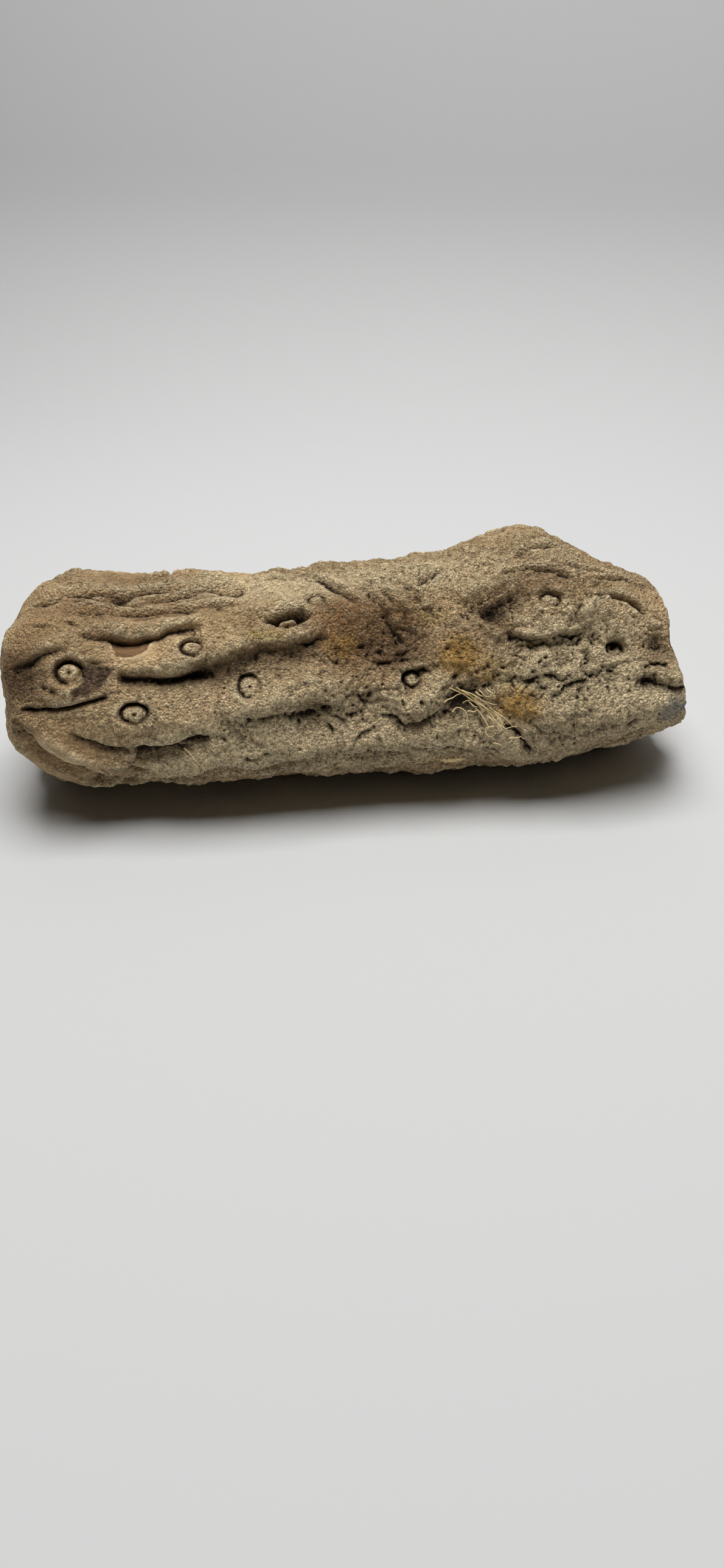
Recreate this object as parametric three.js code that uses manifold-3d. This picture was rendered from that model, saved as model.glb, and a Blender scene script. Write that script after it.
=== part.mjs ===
// Stigmaria: the rootstock of a fossil lycopod tree, preserved as one solid sandstone cast, with
// dry plant fibres caught on it. Units are millimetres, +Z is up and X runs along the root. The
// origin is on the plane that the cast rests on, under the middle of its bounding box.
//
// A place on the root is given as "along", in mm from the middle towards +X, and "around", in
// degrees from the front (-Y) over the top (+Z, 90) to the back (+Y, 180).
import * as THREE from "three";
import { mergeVertices } from "three/addons/utils/BufferGeometryUtils.js";
import { ConvexHull } from "three/addons/math/ConvexHull.js";
import { ImprovedNoise } from "three/addons/math/ImprovedNoise.js";
import Module from "manifold-3d";

// ---------------------------------------------------------------- driving dimensions
const AXIS_HEIGHT = 30; // the root's axis line above the plane it rests on
const AXIS_SHIFT = { x: 0.2, y: -0.6 }; // puts the middle of the bounding box over the origin

// Girth at stations along the root. The twelve radii go round the axis line in steps of 30
// degrees: front, up over the top, the back, and underneath to the front again.
const STATIONS = [
  { along: -100, radii: [31, 31, 29, 26, 28, 28, 27, 26, 26, 28, 27, 29] },
  { along: -85, radii: [33, 33, 30, 28, 33, 32, 30, 29, 28, 31, 27, 32] },
  { along: -60, radii: [33, 33, 28, 27, 33, 33, 31, 30, 29, 32, 27, 33] },
  { along: -30, radii: [34, 33, 28, 27, 30, 31, 32, 31, 30, 32, 28, 32] },
  { along: 0, radii: [34, 33, 30, 29, 32, 32, 32, 31, 31, 32, 30, 33] },
  { along: 30, radii: [35, 34, 31, 30, 34, 35, 35, 33, 32, 32, 31, 34] },
  { along: 55, radii: [37, 36, 35, 34, 40, 40, 38, 35, 33, 32, 29, 34] },
  { along: 80, radii: [35, 33, 30, 27, 27, 29, 33, 32, 30, 30, 26, 30] },
  { along: 100, radii: [32, 31, 28, 25, 25, 25, 26, 26, 26, 27, 24, 26] },
];

// How far the two broken ends reach from the middle: at the axis line, and round the rim in the
// same twelve directions.
const ENDS = {
  left: { core: 97, rim: [101, 103, 100, 95, 93, 95, 97, 97, 97, 96, 91, 92] },
  right: { core: 95, rim: [105, 98, 94, 91, 92, 93, 95, 97, 99, 100, 105, 107] },
};
const RIM_SQUARENESS = 8; // exponent of the superellipse that rounds the rims of the ends

// Flat planes that the ends broke along: their reach on the axis line, and how much they lean
// with every mm towards the back (+Y) and upwards.
const BREAKS = {
  left: [
    { reach: 97, back: -0.06, up: 0.02 },
    { reach: 100, back: 0.22, up: -0.1 },
    { reach: 99, back: -0.12, up: -0.24 },
  ],
  right: [
    { reach: 95, back: -0.1, up: -0.22 },
    { reach: 95, back: 0.16, up: -0.28 },
    { reach: 98, back: -0.1, up: 0.1 },
  ],
};
const BREAK_ROUGHNESS = { wave: 9, height: 1.2 }; // noise on those planes
const BREAK_CORE = 0.5; // share of an end's radius that the skin's marks don't reach

// Rootlet scars: a dished disc, a ring groove inside its edge and the boss of the rootlet's
// strand in its middle, with the heights and depths of each.
const SCARS = [
  { along: -77, around: 34, width: 8, dish: 0.5, groove: 0.9, boss: 1.5 },
  { along: -61, around: 12, width: 8, dish: 0.8, groove: 1.1, boss: 0.9 },
  { along: -44, around: 42, width: 7.5, dish: 1.2, groove: 0.7, boss: 1.4 },
  { along: -31, around: 22, width: 7.5, dish: 0.2, groove: 0.6, boss: 0.3 },
  { along: -19, around: 58, width: 10, dish: 3.2, groove: 0.6, boss: 1.8 },
  { along: 14, around: 20, width: 7.5, dish: 2.6, groove: 0.6, boss: 1.6 },
  { along: 69, around: 29, width: 6, dish: 2.4, groove: 0.4, boss: 0.9 },
  { along: 54, around: 58, width: 8, dish: 1.5, groove: 0.4, boss: 0.4 },
  { along: -4, around: 9, width: 7, dish: 0.3, groove: 0.4, boss: 0.4 },
  { along: -64, around: 85, width: 7, dish: 2, groove: 0.4, boss: 0.6 },
  { along: -34, around: 91, width: 8, dish: 1.8, groove: 0.3, boss: 0.4 },
  { along: -10, around: 75, width: 6, dish: 1.2, groove: 0.4, boss: 0.4 },
];
// The same scars in staggered rows over the back and low on the front.
const SCAR_ROWS = { around: [122, 150, 178, 206, 234, 304], from: -82, to: 80, spacing: 32, width: 7.5 };
const SCAR_SHAPE = { dish: 1.6, boss: 0.6, groove: 0.82, grooveHalf: 0.2 }; // in half widths

// Folds, grooves, cracks and ledges. Each follows a path of [along, around] places. Across it,
// a groove of the given depth and half width is cut, the upper side is raised by the lip, and
// the lower side steps in by the step. Sizes are in mm.
const CREASE_SHAPE = { lipAt: 2, lipHalf: 1.4, stepReach: 4, fade: 0.4 }; // in half widths and path legs
const CREASES = [
  // the bark folds down the left part of the front and over its shoulder
  {
    path: [[-63, 31], [-55, 29], [-48, 30], [-43, 34], [-35, 39], [-21, 39], [-8, 45]],
    depth: 2.8, half: 2, lip: 2,
  },
  {
    path: [[-75, 55], [-67, 50], [-60, 49], [-55, 50], [-46, 56], [-41, 57]],
    depth: 1.8, half: 1.5, lip: 1,
  },
  { path: [[-90, 39], [-82, 42], [-72, 46]], depth: 0.9, half: 1.3, lip: 0.4 },
  { path: [[-94, 15], [-86, 17], [-76, 18], [-69, 19]], depth: 2.4, half: 1.3, lip: 0.6 },
  { path: [[-77, 4], [-75, 0], [-71, -6], [-65, -9], [-57, -12]], depth: 1.6, half: 1.6 },
  { path: [[-61, -7], [-56, -6], [-48, -2], [-42, -2]], depth: 2.4, half: 1.8, lip: 0.8 },
  { path: [[-64, -15], [-57, -20]], depth: 1, half: 1.2 },
  {
    path: [[-80, 103], [-73, 100], [-64, 96], [-51, 98], [-37, 106], [-27, 102]],
    depth: 0.6, half: 1.5, lip: 0.8,
  },
  { path: [[-86, 94], [-77, 89], [-68, 82], [-54, 78]], depth: 0.9, half: 1.4, lip: 0.7 },
  { path: [[-76, 77], [-67, 79]], depth: 0.7, half: 1.2, lip: 0.3 },
  { path: [[-85, 67], [-80, 64], [-74, 60]], depth: 0.8, half: 1.2, lip: 0.4 },
  // the sharp lower edges of the front, undercut below
  { path: [[-89, 6], [-85, -2], [-80, -10], [-73, -20], [-65, -28]], step: 3, half: 1.4, lip: 0.4 },
  { path: [[-62, -27], [-51, -22], [-44, -17], [-31, -19], [-23, -22]], step: 3, half: 1.4, lip: 0.5 },
  {
    path: [[-23, -22], [-16, -20], [-9, -14], [-5, -16], [0, -19], [7, -18]],
    step: 2.6, half: 1.4, lip: 0.5,
  },
  { path: [[51, -28], [56, -21], [61, -17], [67, -16]], step: 2, half: 1.3, lip: 0.4 },
  // the twisted saddle in the middle
  { path: [[-9, 103], [-5, 87], [0, 71], [5, 62]], depth: 0.9, half: 1.4, lip: 1.4 },
  { path: [[5, 82], [8, 79], [10, 71], [12, 65], [14, 54], [17, 36]], depth: 1.4, half: 1.6, lip: 1 },
  { path: [[0, 28], [6, 30], [15, 29]], depth: 0.9, half: 1.2, lip: 0.5 },
  { path: [[5, 3], [9, 2], [12, -3]], depth: 0.4, half: 1.2, step: 1 },
  { path: [[14, 1], [17, -1], [20, 3]], depth: 0.4, half: 1.2, step: 1 },
  // cracks and folds of the right part
  { path: [[12, -13], [18, -14], [27, -13], [32, -15], [38, -16]], depth: 1.2, half: 1, lip: 0.4 },
  { path: [[39, -4], [44, -8], [45, -13], [47, -15]], depth: 1.9, half: 1.5 },
  { path: [[40, 42], [42, 38], [46, 36], [57, 38], [62, 36]], depth: 1.4, half: 1.3, lip: 0.5 },
  { path: [[44, 35], [46, 31], [47, 29]], depth: 0.9, half: 1 },
  { path: [[63, 49], [66, 56], [70, 58], [77, 58], [82, 52]], depth: 2, half: 1.6, lip: 0.4 },
  { path: [[41, 75], [43, 78], [47, 80], [53, 76], [57, 73], [61, 65]], depth: 0.6, half: 1.2, step: 0.9 },
  { path: [[60, 77], [65, 81], [75, 90]], depth: 1, half: 1.1, lip: 0.4 },
  { path: [[16, 77], [20, 84], [26, 93]], depth: 0.6, half: 1.2, lip: 0.4 },
  { path: [[29, 94], [33, 84], [34, 75]], depth: 0.7, half: 1.3, lip: 0.5 },
  { path: [[75, 19], [80, 18], [90, 17]], depth: 2.6, half: 1.4, lip: 0.8 },
  // folds over the back and the underside
  { path: [[-88, 136], [-60, 132], [-35, 138], [-8, 131]], depth: 1.8, half: 1.8, lip: 1.2 },
  { path: [[-70, 166], [-40, 172], [-12, 165]], depth: 1.4, half: 1.6, lip: 0.9 },
  { path: [[8, 150], [32, 158], [60, 152], [84, 160]], depth: 1.8, half: 1.8, lip: 1.2 },
  { path: [[-84, 196], [-58, 190], [-30, 196]], depth: 1.6, half: 1.6, lip: 0.9 },
  { path: [[2, 186], [30, 192], [55, 186]], depth: 1.4, half: 1.6, lip: 0.9 },
  { path: [[-50, 222], [-20, 218], [12, 224]], depth: 1.2, half: 1.6, lip: 0.6 },
  { path: [[34, 220], [58, 226], [80, 220]], depth: 1.2, half: 1.6, lip: 0.6 },
  { path: [[-76, -44], [-50, -48], [-22, -43]], depth: 1.4, half: 1.8, lip: 0.6 },
  { path: [[10, -40], [36, -45], [60, -41]], depth: 1.2, half: 1.6, lip: 0.6 },
];

// Lumps (positive) and hollows (negative): height, and half lengths along and across the root.
const SWELLS = [
  { along: -70, around: 28, height: -1.4, length: 6, breadth: 6 }, // hollow beside the first scar
  { along: -60, around: 44, height: -1.2, length: 7, breadth: 4 }, // smooth brown pocket
  { along: -44, around: 51, height: -0.8, length: 5, breadth: 3 },
  { along: -30, around: 31, height: -1.4, length: 22, breadth: 4 }, // trough below the long fold
  { along: -53, around: -8, height: -1.6, length: 9, breadth: 2.5 }, // shaded pocket
  { along: -30, around: 2, height: 0.9, length: 16, breadth: 5 },
  { along: -20, around: 4, height: -1.6, length: 3.5, breadth: 1.6 },
  { along: -13, around: 5, height: -1.6, length: 2, breadth: 1.6 },
  { along: -9, around: 7, height: -1.2, length: 2, breadth: 1.4 },
  { along: 2, around: 17, height: 1.3, length: 7, breadth: 5 },
  { along: 11, around: 42, height: -2.4, length: 7, breadth: 10 }, // valley of the saddle
  { along: -2, around: 84, height: 1.2, length: 6, breadth: 8 },
  { along: 18, around: 26, height: -1.2, length: 4, breadth: 3 },
  { along: 20, around: -8, height: 1, length: 8, breadth: 6 },
  { along: 29, around: 9, height: -1.6, length: 3.5, breadth: 3 }, // where the fibres lodge
  { along: 40, around: 70, height: 1.3, length: 4.5, breadth: 3 },
  { along: 39, around: 60, height: -1.6, length: 4.5, breadth: 3 },
  { along: 43, around: 6, height: 1, length: 6, breadth: 4 },
  { along: 58, around: 8, height: 1.1, length: 8, breadth: 6 },
  { along: 70, around: 46, height: 1.8, length: 6, breadth: 4.5 }, // knuckle by the right end
  { along: 80, around: 9, height: -3, length: 3.5, breadth: 2.6 },
  { along: 84, around: 13, height: 1.2, length: 4, breadth: 1.6 },
  { along: 69, around: -19, height: -2, length: 2.5, breadth: 2.5 },
  { along: 76, around: -6, height: -1, length: 3, breadth: 2 },
  { along: -82, around: 26, height: -0.8, length: 2.5, breadth: 2.5 },
  { along: -40, around: 150, height: 1.5, length: 16, breadth: 6 },
  { along: 30, around: 172, height: -1.6, length: 14, breadth: 6 },
  { along: -10, around: 190, height: 1.4, length: 12, breadth: 6 },
];

// Uneven weathering: wavelength and height of each layer of noise.
const WEATHERING = [
  { wave: 22, height: 1 },
  { wave: 9, height: 0.3 },
];

// Dry fibres caught on the front: pads of the room they fill, in places on the root.
const PADS = {
  dried_rootlets: [[18, 13], [22, 17], [29, 10], [34, 0], [36, -7], [31, -8], [27, 1], [20, 8]],
  dried_moss_tuft: [[17, -19], [20, -16], [24, -18], [25, -23], [21, -26], [17, -24]],
};
const PAD_GAP = 0.3; // between the stone and a pad
const PAD_THICKNESS = 1.4;
const PAD_DEPTH = 20; // how deep the pads' outline is cut, well past their thickness

const STONE = { color: 0x9a8b6e, roughness: 0.95, metalness: 0 };
const STRAW = { color: 0xb5a27c, roughness: 0.9, metalness: 0 };

// ---------------------------------------------------------------- spacing of the mesh, in mm
const MEAN_RADIUS = 32; // the root's skin is unrolled at this radius to be triangulated
const RIM_POINTS = 40; // round each end
const PLAIN_SPACING = 5.6; // between the points of the plain skin
const PLAIN_CLEARANCE = 3; // from them to the points that follow a feature
const CREASE_SPACING = 2.9; // along a crease
const CREASE_ROWS = [0, 2.1, -1.3, 3.6, 1]; // across a crease, in its half widths
const FEATURE_CLEARANCE = 1.1; // between the points that follow features
const SCAR_RINGS = [
  { at: 0, points: 1 },
  { at: 0.82, points: 9 },
  { at: 0.42, points: 6 },
  { at: 1.15, points: 11 },
  { at: 1.65, points: 11 },
]; // in the scar's half widths
const SWELL_RINGS = [
  { at: 0, points: 1 },
  { at: 0.7, points: 6 },
  { at: 1.5, points: 8 },
]; // in the swell's half sizes
const HEX_ROW = Math.sqrt(0.75); // height of a row of points against the spacing along it
const SCATTER = 0.3; // most that a point is moved off its regular place
const SCATTER_RATE = 3.3; // noise cells per mm for that
const HALF_LENGTH = 96; // of the side, unrolled
const GIRTH = 2 * Math.PI * MEAN_RADIUS;
const LEAST_AREA = 1e-6; // of a triangle, to tell it from three points in line

// ---------------------------------------------------------------- the root's surface
const noise = new ImprovedNoise();
const { clamp, degToRad, lerp, smoothstep } = THREE.MathUtils;
const girthTable = new THREE.CubicInterpolant(
  STATIONS.map((station) => station.along),
  STATIONS.flatMap((station) => station.radii),
  STATIONS[0].radii.length,
);
const scars = [...SCARS, ...scarsInRows()];

/** Rows of scars, every second row shifted by half a spacing, each scar a little out of line. */
function scarsInRows() {
  const found = [];
  SCAR_ROWS.around.forEach((around, row) => {
    const start = SCAR_ROWS.from + (row % 2) * (SCAR_ROWS.spacing / 2);
    for (let along = start; along <= SCAR_ROWS.to; along += SCAR_ROWS.spacing) {
      const vary = noise.noise(along / SCAR_ROWS.width, row, 0.5);
      found.push({
        along: along + SCAR_ROWS.width * vary,
        around: around + SCAR_ROWS.width * vary,
        width: SCAR_ROWS.width,
        dish: 1.1 + vary,
        groove: 0.6,
        boss: 0.9 - vary,
      });
    }
  });
  return found;
}

/** Catmull-Rom interpolation, at an angle, of values spaced evenly round a circle. */
function roundTheRing(values, angle) {
  const n = values.length;
  const step = (angle / (2 * Math.PI) + 1) * n;
  const at = Math.floor(step);
  const f = step - at;
  const [a, b, c, d] = [-1, 0, 1, 2].map((k) => values[(at + k + n) % n]);
  return b + 0.5 * f * (c - a + f * (2 * a - 5 * b + 4 * c - d + f * (3 * (b - c) + d - a)));
}

/** Bell curve, 1 at 0 and near 0 beyond 2. */
function bell(x) {
  return Math.exp(-x * x);
}

/** Distance in mm round the root between a place's angle and a feature's angle. */
function arc(angle, around, radius) {
  const turn = angle - degToRad(around);
  return radius * Math.atan2(Math.sin(turn), Math.cos(turn));
}

/** Height that a rootlet scar adds at a place. */
function scarHeight(scar, along, angle, radius) {
  const r = Math.hypot(along - scar.along, arc(angle, scar.around, radius)) / (scar.width / 2);
  const dish = Math.max(0, 1 - (r / SCAR_SHAPE.dish) ** 2) ** 2;
  const boss = Math.max(0, 1 - (r / SCAR_SHAPE.boss) ** 2);
  const ring = bell((r - SCAR_SHAPE.groove) / SCAR_SHAPE.grooveHalf);
  return scar.boss * boss - scar.dish * dish - scar.groove * ring;
}

/** Height that a crease adds at a place, fading out at both ends of its path. */
function creaseHeight(crease, along, angle, radius) {
  const { path, half, depth = 0, lip = 0, step = 0 } = crease;
  let nearest = Infinity;
  let side = 0;
  let travelled = 0;
  for (let i = 1; i < path.length; i++) {
    const [start, end] = [path[i - 1], path[i]];
    const off = new THREE.Vector2(along - start[0], arc(angle, start[1], radius));
    const run = new THREE.Vector2(end[0] - start[0], degToRad(end[1] - start[1]) * radius);
    const t = clamp(off.dot(run) / run.lengthSq(), 0, 1);
    off.addScaledVector(run, -t);
    if (off.length() < nearest) {
      nearest = off.length();
      side = Math.sign(run.cross(off)) * Math.sign(run.x || 1);
      travelled = i - 1 + t;
    }
  }
  const toEnd = Math.min(travelled, path.length - 1 - travelled);
  const fade = Math.sqrt(Math.min(1, toEnd / CREASE_SHAPE.fade));
  const s = (nearest * (side || 1)) / half;
  const raised = lip * bell((s - CREASE_SHAPE.lipAt) / CREASE_SHAPE.lipHalf);
  const under = step * smoothstep(-s, 0, 1) * bell(s / CREASE_SHAPE.stepReach);
  return fade * (raised - depth * bell(s) - under);
}

/** Height that a lump or hollow adds at a place. */
function swellHeight(swell, along, angle, radius) {
  const x = (along - swell.along) / swell.length;
  const y = arc(angle, swell.around, radius) / swell.breadth;
  return swell.height * bell(Math.hypot(x, y));
}

/** Height of everything that shapes the root's skin at a place. */
function relief(along, angle, radius) {
  let height = 0;
  for (const scar of scars) height += scarHeight(scar, along, angle, radius);
  for (const crease of CREASES) height += creaseHeight(crease, along, angle, radius);
  for (const swell of SWELLS) height += swellHeight(swell, along, angle, radius);
  const [y, z] = [radius * Math.cos(angle), radius * Math.sin(angle)];
  for (const layer of WEATHERING) {
    height += layer.height * noise.noise(along / layer.wave, y / layer.wave, z / layer.wave);
  }
  return height;
}

/** How far along the root a point of the unit can lies. */
function alongOf(x, across, angle) {
  const squash = (Math.abs(x) ** RIM_SQUARENESS + across ** RIM_SQUARENESS) ** (-1 / RIM_SQUARENESS);
  const end = x < 0 ? ENDS.left : ENDS.right;
  return { squash, along: x * squash * lerp(end.core, roundTheRing(end.rim, angle), across) };
}

/** The point of the root, grown outwards by some mm, that belongs to a point of the unit can. */
function surface({ x, across, angle }, grown = 0) {
  const { squash, along } = alongOf(x, across, angle);
  const girth = roundTheRing(Array.from(girthTable.evaluate(along)), angle);
  const skin = relief(along, angle, girth) * smoothstep(across, BREAK_CORE, 1);
  const radius = across * squash * (girth + skin + grown);
  const y = -radius * Math.cos(angle);
  const up = radius * Math.sin(angle);
  const { wave, height } = BREAK_ROUGHNESS;
  const rough = height * noise.noise(y / wave, up / wave, Math.sign(x));
  const reachOf = (plane) => plane.reach + plane.back * y + plane.up * up + rough;
  const left = -Math.min(...BREAKS.left.map(reachOf));
  const right = Math.min(...BREAKS.right.map(reachOf));
  return new THREE.Vector3(clamp(along, left, right), y, Math.max(AXIS_HEIGHT + up, 0));
}

// ---------------------------------------------------------------- meshing
/** The point of the unit can's side that lies at a place, found by halving. */
function xOnSide(along, angle) {
  let [low, high] = [-1, 1];
  for (let i = 0; i < 20; i++) {
    const middle = (low + high) / 2;
    if (alongOf(middle, 1, angle).along < along) low = middle;
    else high = middle;
  }
  return (low + high) / 2;
}

/** A small shift off a regular place, the same each time for the same place. */
function scatter(x, y, seed) {
  return SCATTER * noise.noise(x * SCATTER_RATE, y * SCATTER_RATE, seed);
}

/** Points of the unrolled side, each kept clear of the ones planted before it. */
function plantSide() {
  const planted = [];
  const plant = (along, angle, clearance) => {
    const x = xOnSide(along, angle) * HALF_LENGTH;
    const y = Math.atan2(Math.sin(angle), Math.cos(angle)) * MEAN_RADIUS;
    const nearRim = HALF_LENGTH - Math.abs(x) < clearance;
    const crowded = planted.some((other) => {
      const round = Math.abs(other.y - y);
      return Math.hypot(other.x - x, Math.min(round, GIRTH - round)) < clearance;
    });
    if (nearRim || crowded) return;
    planted.push(new THREE.Vector2(x + scatter(x, y, 0.5), y + scatter(x, y, 7.5)));
  };
  const plantRings = (rings, feature, length, breadth) => {
    for (const { at, points } of rings) {
      for (let i = 0; i < points; i++) {
        const turn = (2 * Math.PI * (i + 0.3)) / points;
        const along = feature.along + at * length * Math.cos(turn);
        const angle = degToRad(feature.around) + (at * breadth * Math.sin(turn)) / MEAN_RADIUS;
        plant(along, angle, FEATURE_CLEARANCE);
      }
    }
  };
  for (let i = 0; i < RIM_POINTS; i++) {
    const y = (i / RIM_POINTS - 0.5) * GIRTH;
    planted.push(new THREE.Vector2(-HALF_LENGTH, y), new THREE.Vector2(HALF_LENGTH, y));
  }
  for (const scar of scars) plantRings(SCAR_RINGS, scar, scar.width / 2, scar.width / 2);
  for (const row of CREASE_ROWS) {
    for (const { path, half } of CREASES) {
      for (const { along, angle } of besidePath(path, row * half)) plant(along, angle, FEATURE_CLEARANCE);
    }
  }
  for (const swell of SWELLS) plantRings(SWELL_RINGS, swell, swell.length, swell.breadth);
  const rows = Math.round(GIRTH / (PLAIN_SPACING * HEX_ROW));
  for (let row = 0; row < rows; row++) {
    for (let along = -HALF_LENGTH; along < HALF_LENGTH; along += PLAIN_SPACING) {
      plant(along + ((row % 2) * PLAIN_SPACING) / 2, (2 * Math.PI * row) / rows, PLAIN_CLEARANCE);
    }
  }
  return planted;
}

/** Places at regular steps beside a crease's path, some mm to its upper side. */
function besidePath(path, aside) {
  const places = [];
  for (let i = 1; i < path.length; i++) {
    const from = new THREE.Vector2(path[i - 1][0], degToRad(path[i - 1][1]) * MEAN_RADIUS);
    const run = new THREE.Vector2(path[i][0], degToRad(path[i][1]) * MEAN_RADIUS).sub(from);
    const steps = Math.max(1, Math.round(run.length() / CREASE_SPACING));
    const up = new THREE.Vector2(-run.y, run.x).normalize().multiplyScalar(Math.sign(run.x || 1) * aside);
    for (let k = 0; k < steps; k++) {
      const at = from.clone().addScaledVector(run, (k + 0.5) / steps).add(up);
      places.push({ along: at.x, angle: at.y / MEAN_RADIUS });
    }
  }
  return places;
}

/** Delaunay triangles of points of a plane: the underside of their hull on a paraboloid. */
function delaunay(points) {
  const lifted = points.map(({ x, y }) => new THREE.Vector3(x, y, x * x + y * y));
  const indexOf = new Map(lifted.map((point, i) => [point, i]));
  const triangles = [];
  for (const face of new ConvexHull().setFromPoints(lifted).faces) {
    if (face.normal.z >= 0) continue;
    const edges = [face.edge, face.edge.next, face.edge.next.next];
    const [a, b, c] = edges.map((edge) => indexOf.get(edge.vertex.point));
    const area = points[b].clone().sub(points[a]).cross(points[c].clone().sub(points[a]));
    if (Math.abs(area) > LEAST_AREA) triangles.push(area > 0 ? [a, b, c] : [a, c, b]);
  }
  return triangles;
}

/** The side as seeds on the unit can and triangles, joined where it was unrolled. */
function meshSide() {
  const side = plantSide();
  const strip = [];
  for (const turn of [0, -1, 1]) {
    side.forEach((point, index) => {
      const y = point.y + turn * GIRTH;
      if (Math.abs(y) < GIRTH * 0.6) strip.push(Object.assign(new THREE.Vector2(point.x, y), { index }));
    });
  }
  const triangles = delaunay(strip).filter((corners) => {
    const middle = corners.reduce((sum, i) => sum + strip[i].y / 3, 0);
    return middle >= -GIRTH / 2 && middle < GIRTH / 2;
  });
  return {
    seeds: side.map(({ x, y }) => ({ x: x / HALF_LENGTH, across: 1, angle: y / MEAN_RADIUS })),
    triangles: triangles.map((corners) => corners.map((i) => strip[i].index)),
  };
}

/** Adds the seeds and triangles of one end, inside the rim points that the side has there. */
function meshEnd(net, x) {
  const rim = net.seeds.map((seed, i) => (seed.x === x ? i : -1)).filter((i) => i >= 0);
  const disc = rim.map((index) => {
    const { angle } = net.seeds[index];
    const point = new THREE.Vector2(Math.cos(angle), Math.sin(angle)).multiplyScalar(MEAN_RADIUS);
    return Object.assign(point, { index });
  });
  const rows = Math.ceil(MEAN_RADIUS / PLAIN_SPACING);
  for (let row = -rows; row <= rows; row++) {
    for (let column = -rows; column <= rows; column++) {
      const y = (column + Math.abs(row % 2) / 2) * PLAIN_SPACING + scatter(column, row, 1.5);
      const z = row * PLAIN_SPACING * HEX_ROW + scatter(row, column, 3.5);
      const across = Math.hypot(y, z) / MEAN_RADIUS;
      if (across > 1 - PLAIN_CLEARANCE / MEAN_RADIUS) continue;
      disc.push(Object.assign(new THREE.Vector2(y, z), { index: net.seeds.length }));
      net.seeds.push({ x, across, angle: Math.atan2(z, y) });
    }
  }
  for (const corners of delaunay(disc)) {
    const [a, b, c] = corners.map((i) => disc[i].index);
    net.triangles.push(x < 0 ? [a, b, c] : [a, c, b]);
  }
}

/** The whole root as seeds on the unit can and triangles. */
function meshRoot() {
  const net = meshSide();
  meshEnd(net, -1);
  meshEnd(net, 1);
  return net;
}

/** Closed geometry of the root, grown outwards by some mm. */
function rootGeometry(net, grown = 0) {
  const positions = net.seeds.flatMap((seed) => surface(seed, grown).toArray());
  const geometry = new THREE.BufferGeometry();
  geometry.setAttribute("position", new THREE.Float32BufferAttribute(positions, 3));
  geometry.setIndex(net.triangles.flat());
  return geometry;
}

// ---------------------------------------------------------------- cutting the pads
const wasm = await Module();
wasm.setup();

/** A closed geometry as a solid that can be cut. */
function solidOf(geometry) {
  return new wasm.Manifold(
    new wasm.Mesh({
      numProp: 3,
      vertProperties: geometry.getAttribute("position").array,
      triVerts: new Uint32Array(geometry.index.array),
    }),
  );
}

/** A cut solid as geometry again. */
function geometryOf(solid) {
  const cut = solid.getMesh();
  const geometry = new THREE.BufferGeometry();
  geometry.setAttribute("position", new THREE.Float32BufferAttribute(cut.vertProperties, cut.numProp));
  geometry.setIndex(Array.from(cut.triVerts));
  return geometry;
}

/** A block that cuts a pad's outline out of the front, square to the skin at the pad's middle. */
function outlineBlock(outline) {
  const middle = outline.reduce((sum, [, around]) => sum + around / outline.length, 0);
  const corners = outline.map(
    ([along, around]) => new THREE.Vector2(along, arc(degToRad(around), middle, MEAN_RADIUS)),
  );
  const shape = new THREE.Shape(corners);
  const block = new THREE.ExtrudeGeometry(shape, { depth: PAD_DEPTH, bevelEnabled: false });
  block.deleteAttribute("normal");
  block.deleteAttribute("uv");
  block.translate(0, 0, MEAN_RADIUS - PAD_DEPTH / 2);
  block.rotateX(Math.PI / 2 - degToRad(middle));
  block.translate(0, 0, AXIS_HEIGHT);
  return mergeVertices(block, 1e-4);
}

/** The thin pad over the stone, inside an outline, that a mat of fibres fills. */
function padGeometry(net, outline) {
  const outer = solidOf(rootGeometry(net, PAD_GAP + PAD_THICKNESS));
  const inner = solidOf(rootGeometry(net, PAD_GAP));
  return geometryOf(outer.intersect(solidOf(outlineBlock(outline))).subtract(inner));
}

// ---------------------------------------------------------------- the scene graph
/** A named mesh in its own material. */
function piece(name, geometry, look) {
  const mesh = new THREE.Mesh(geometry, new THREE.MeshStandardMaterial({ ...look, flatShading: true }));
  mesh.name = name;
  return mesh;
}

const net = meshRoot();
const specimen = new THREE.Group();
specimen.position.set(AXIS_SHIFT.x, AXIS_SHIFT.y, 0);
specimen.add(piece("fossil_root", rootGeometry(net), STONE));
for (const [name, outline] of Object.entries(PADS)) {
  specimen.add(piece(name, padGeometry(net, outline), STRAW));
}

export default specimen;
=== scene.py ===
"""A length of fossil lycopod root, Stigmaria, kept as a cast in sandstone.

Places on the root are given as "along", in millimetres from its middle towards +X, and "around",
in degrees from the front (-Y) over the top (+Z, 90) to the back (+Y, 180). Sizes are in
millimetres where no other unit is named.
"""

import logging
import math
from dataclasses import dataclass
from enum import Enum
from itertools import product
from typing import Any, NamedTuple, Sequence

import bpy
import bmesh
import numpy as np
from mathutils import Matrix, Vector


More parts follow.
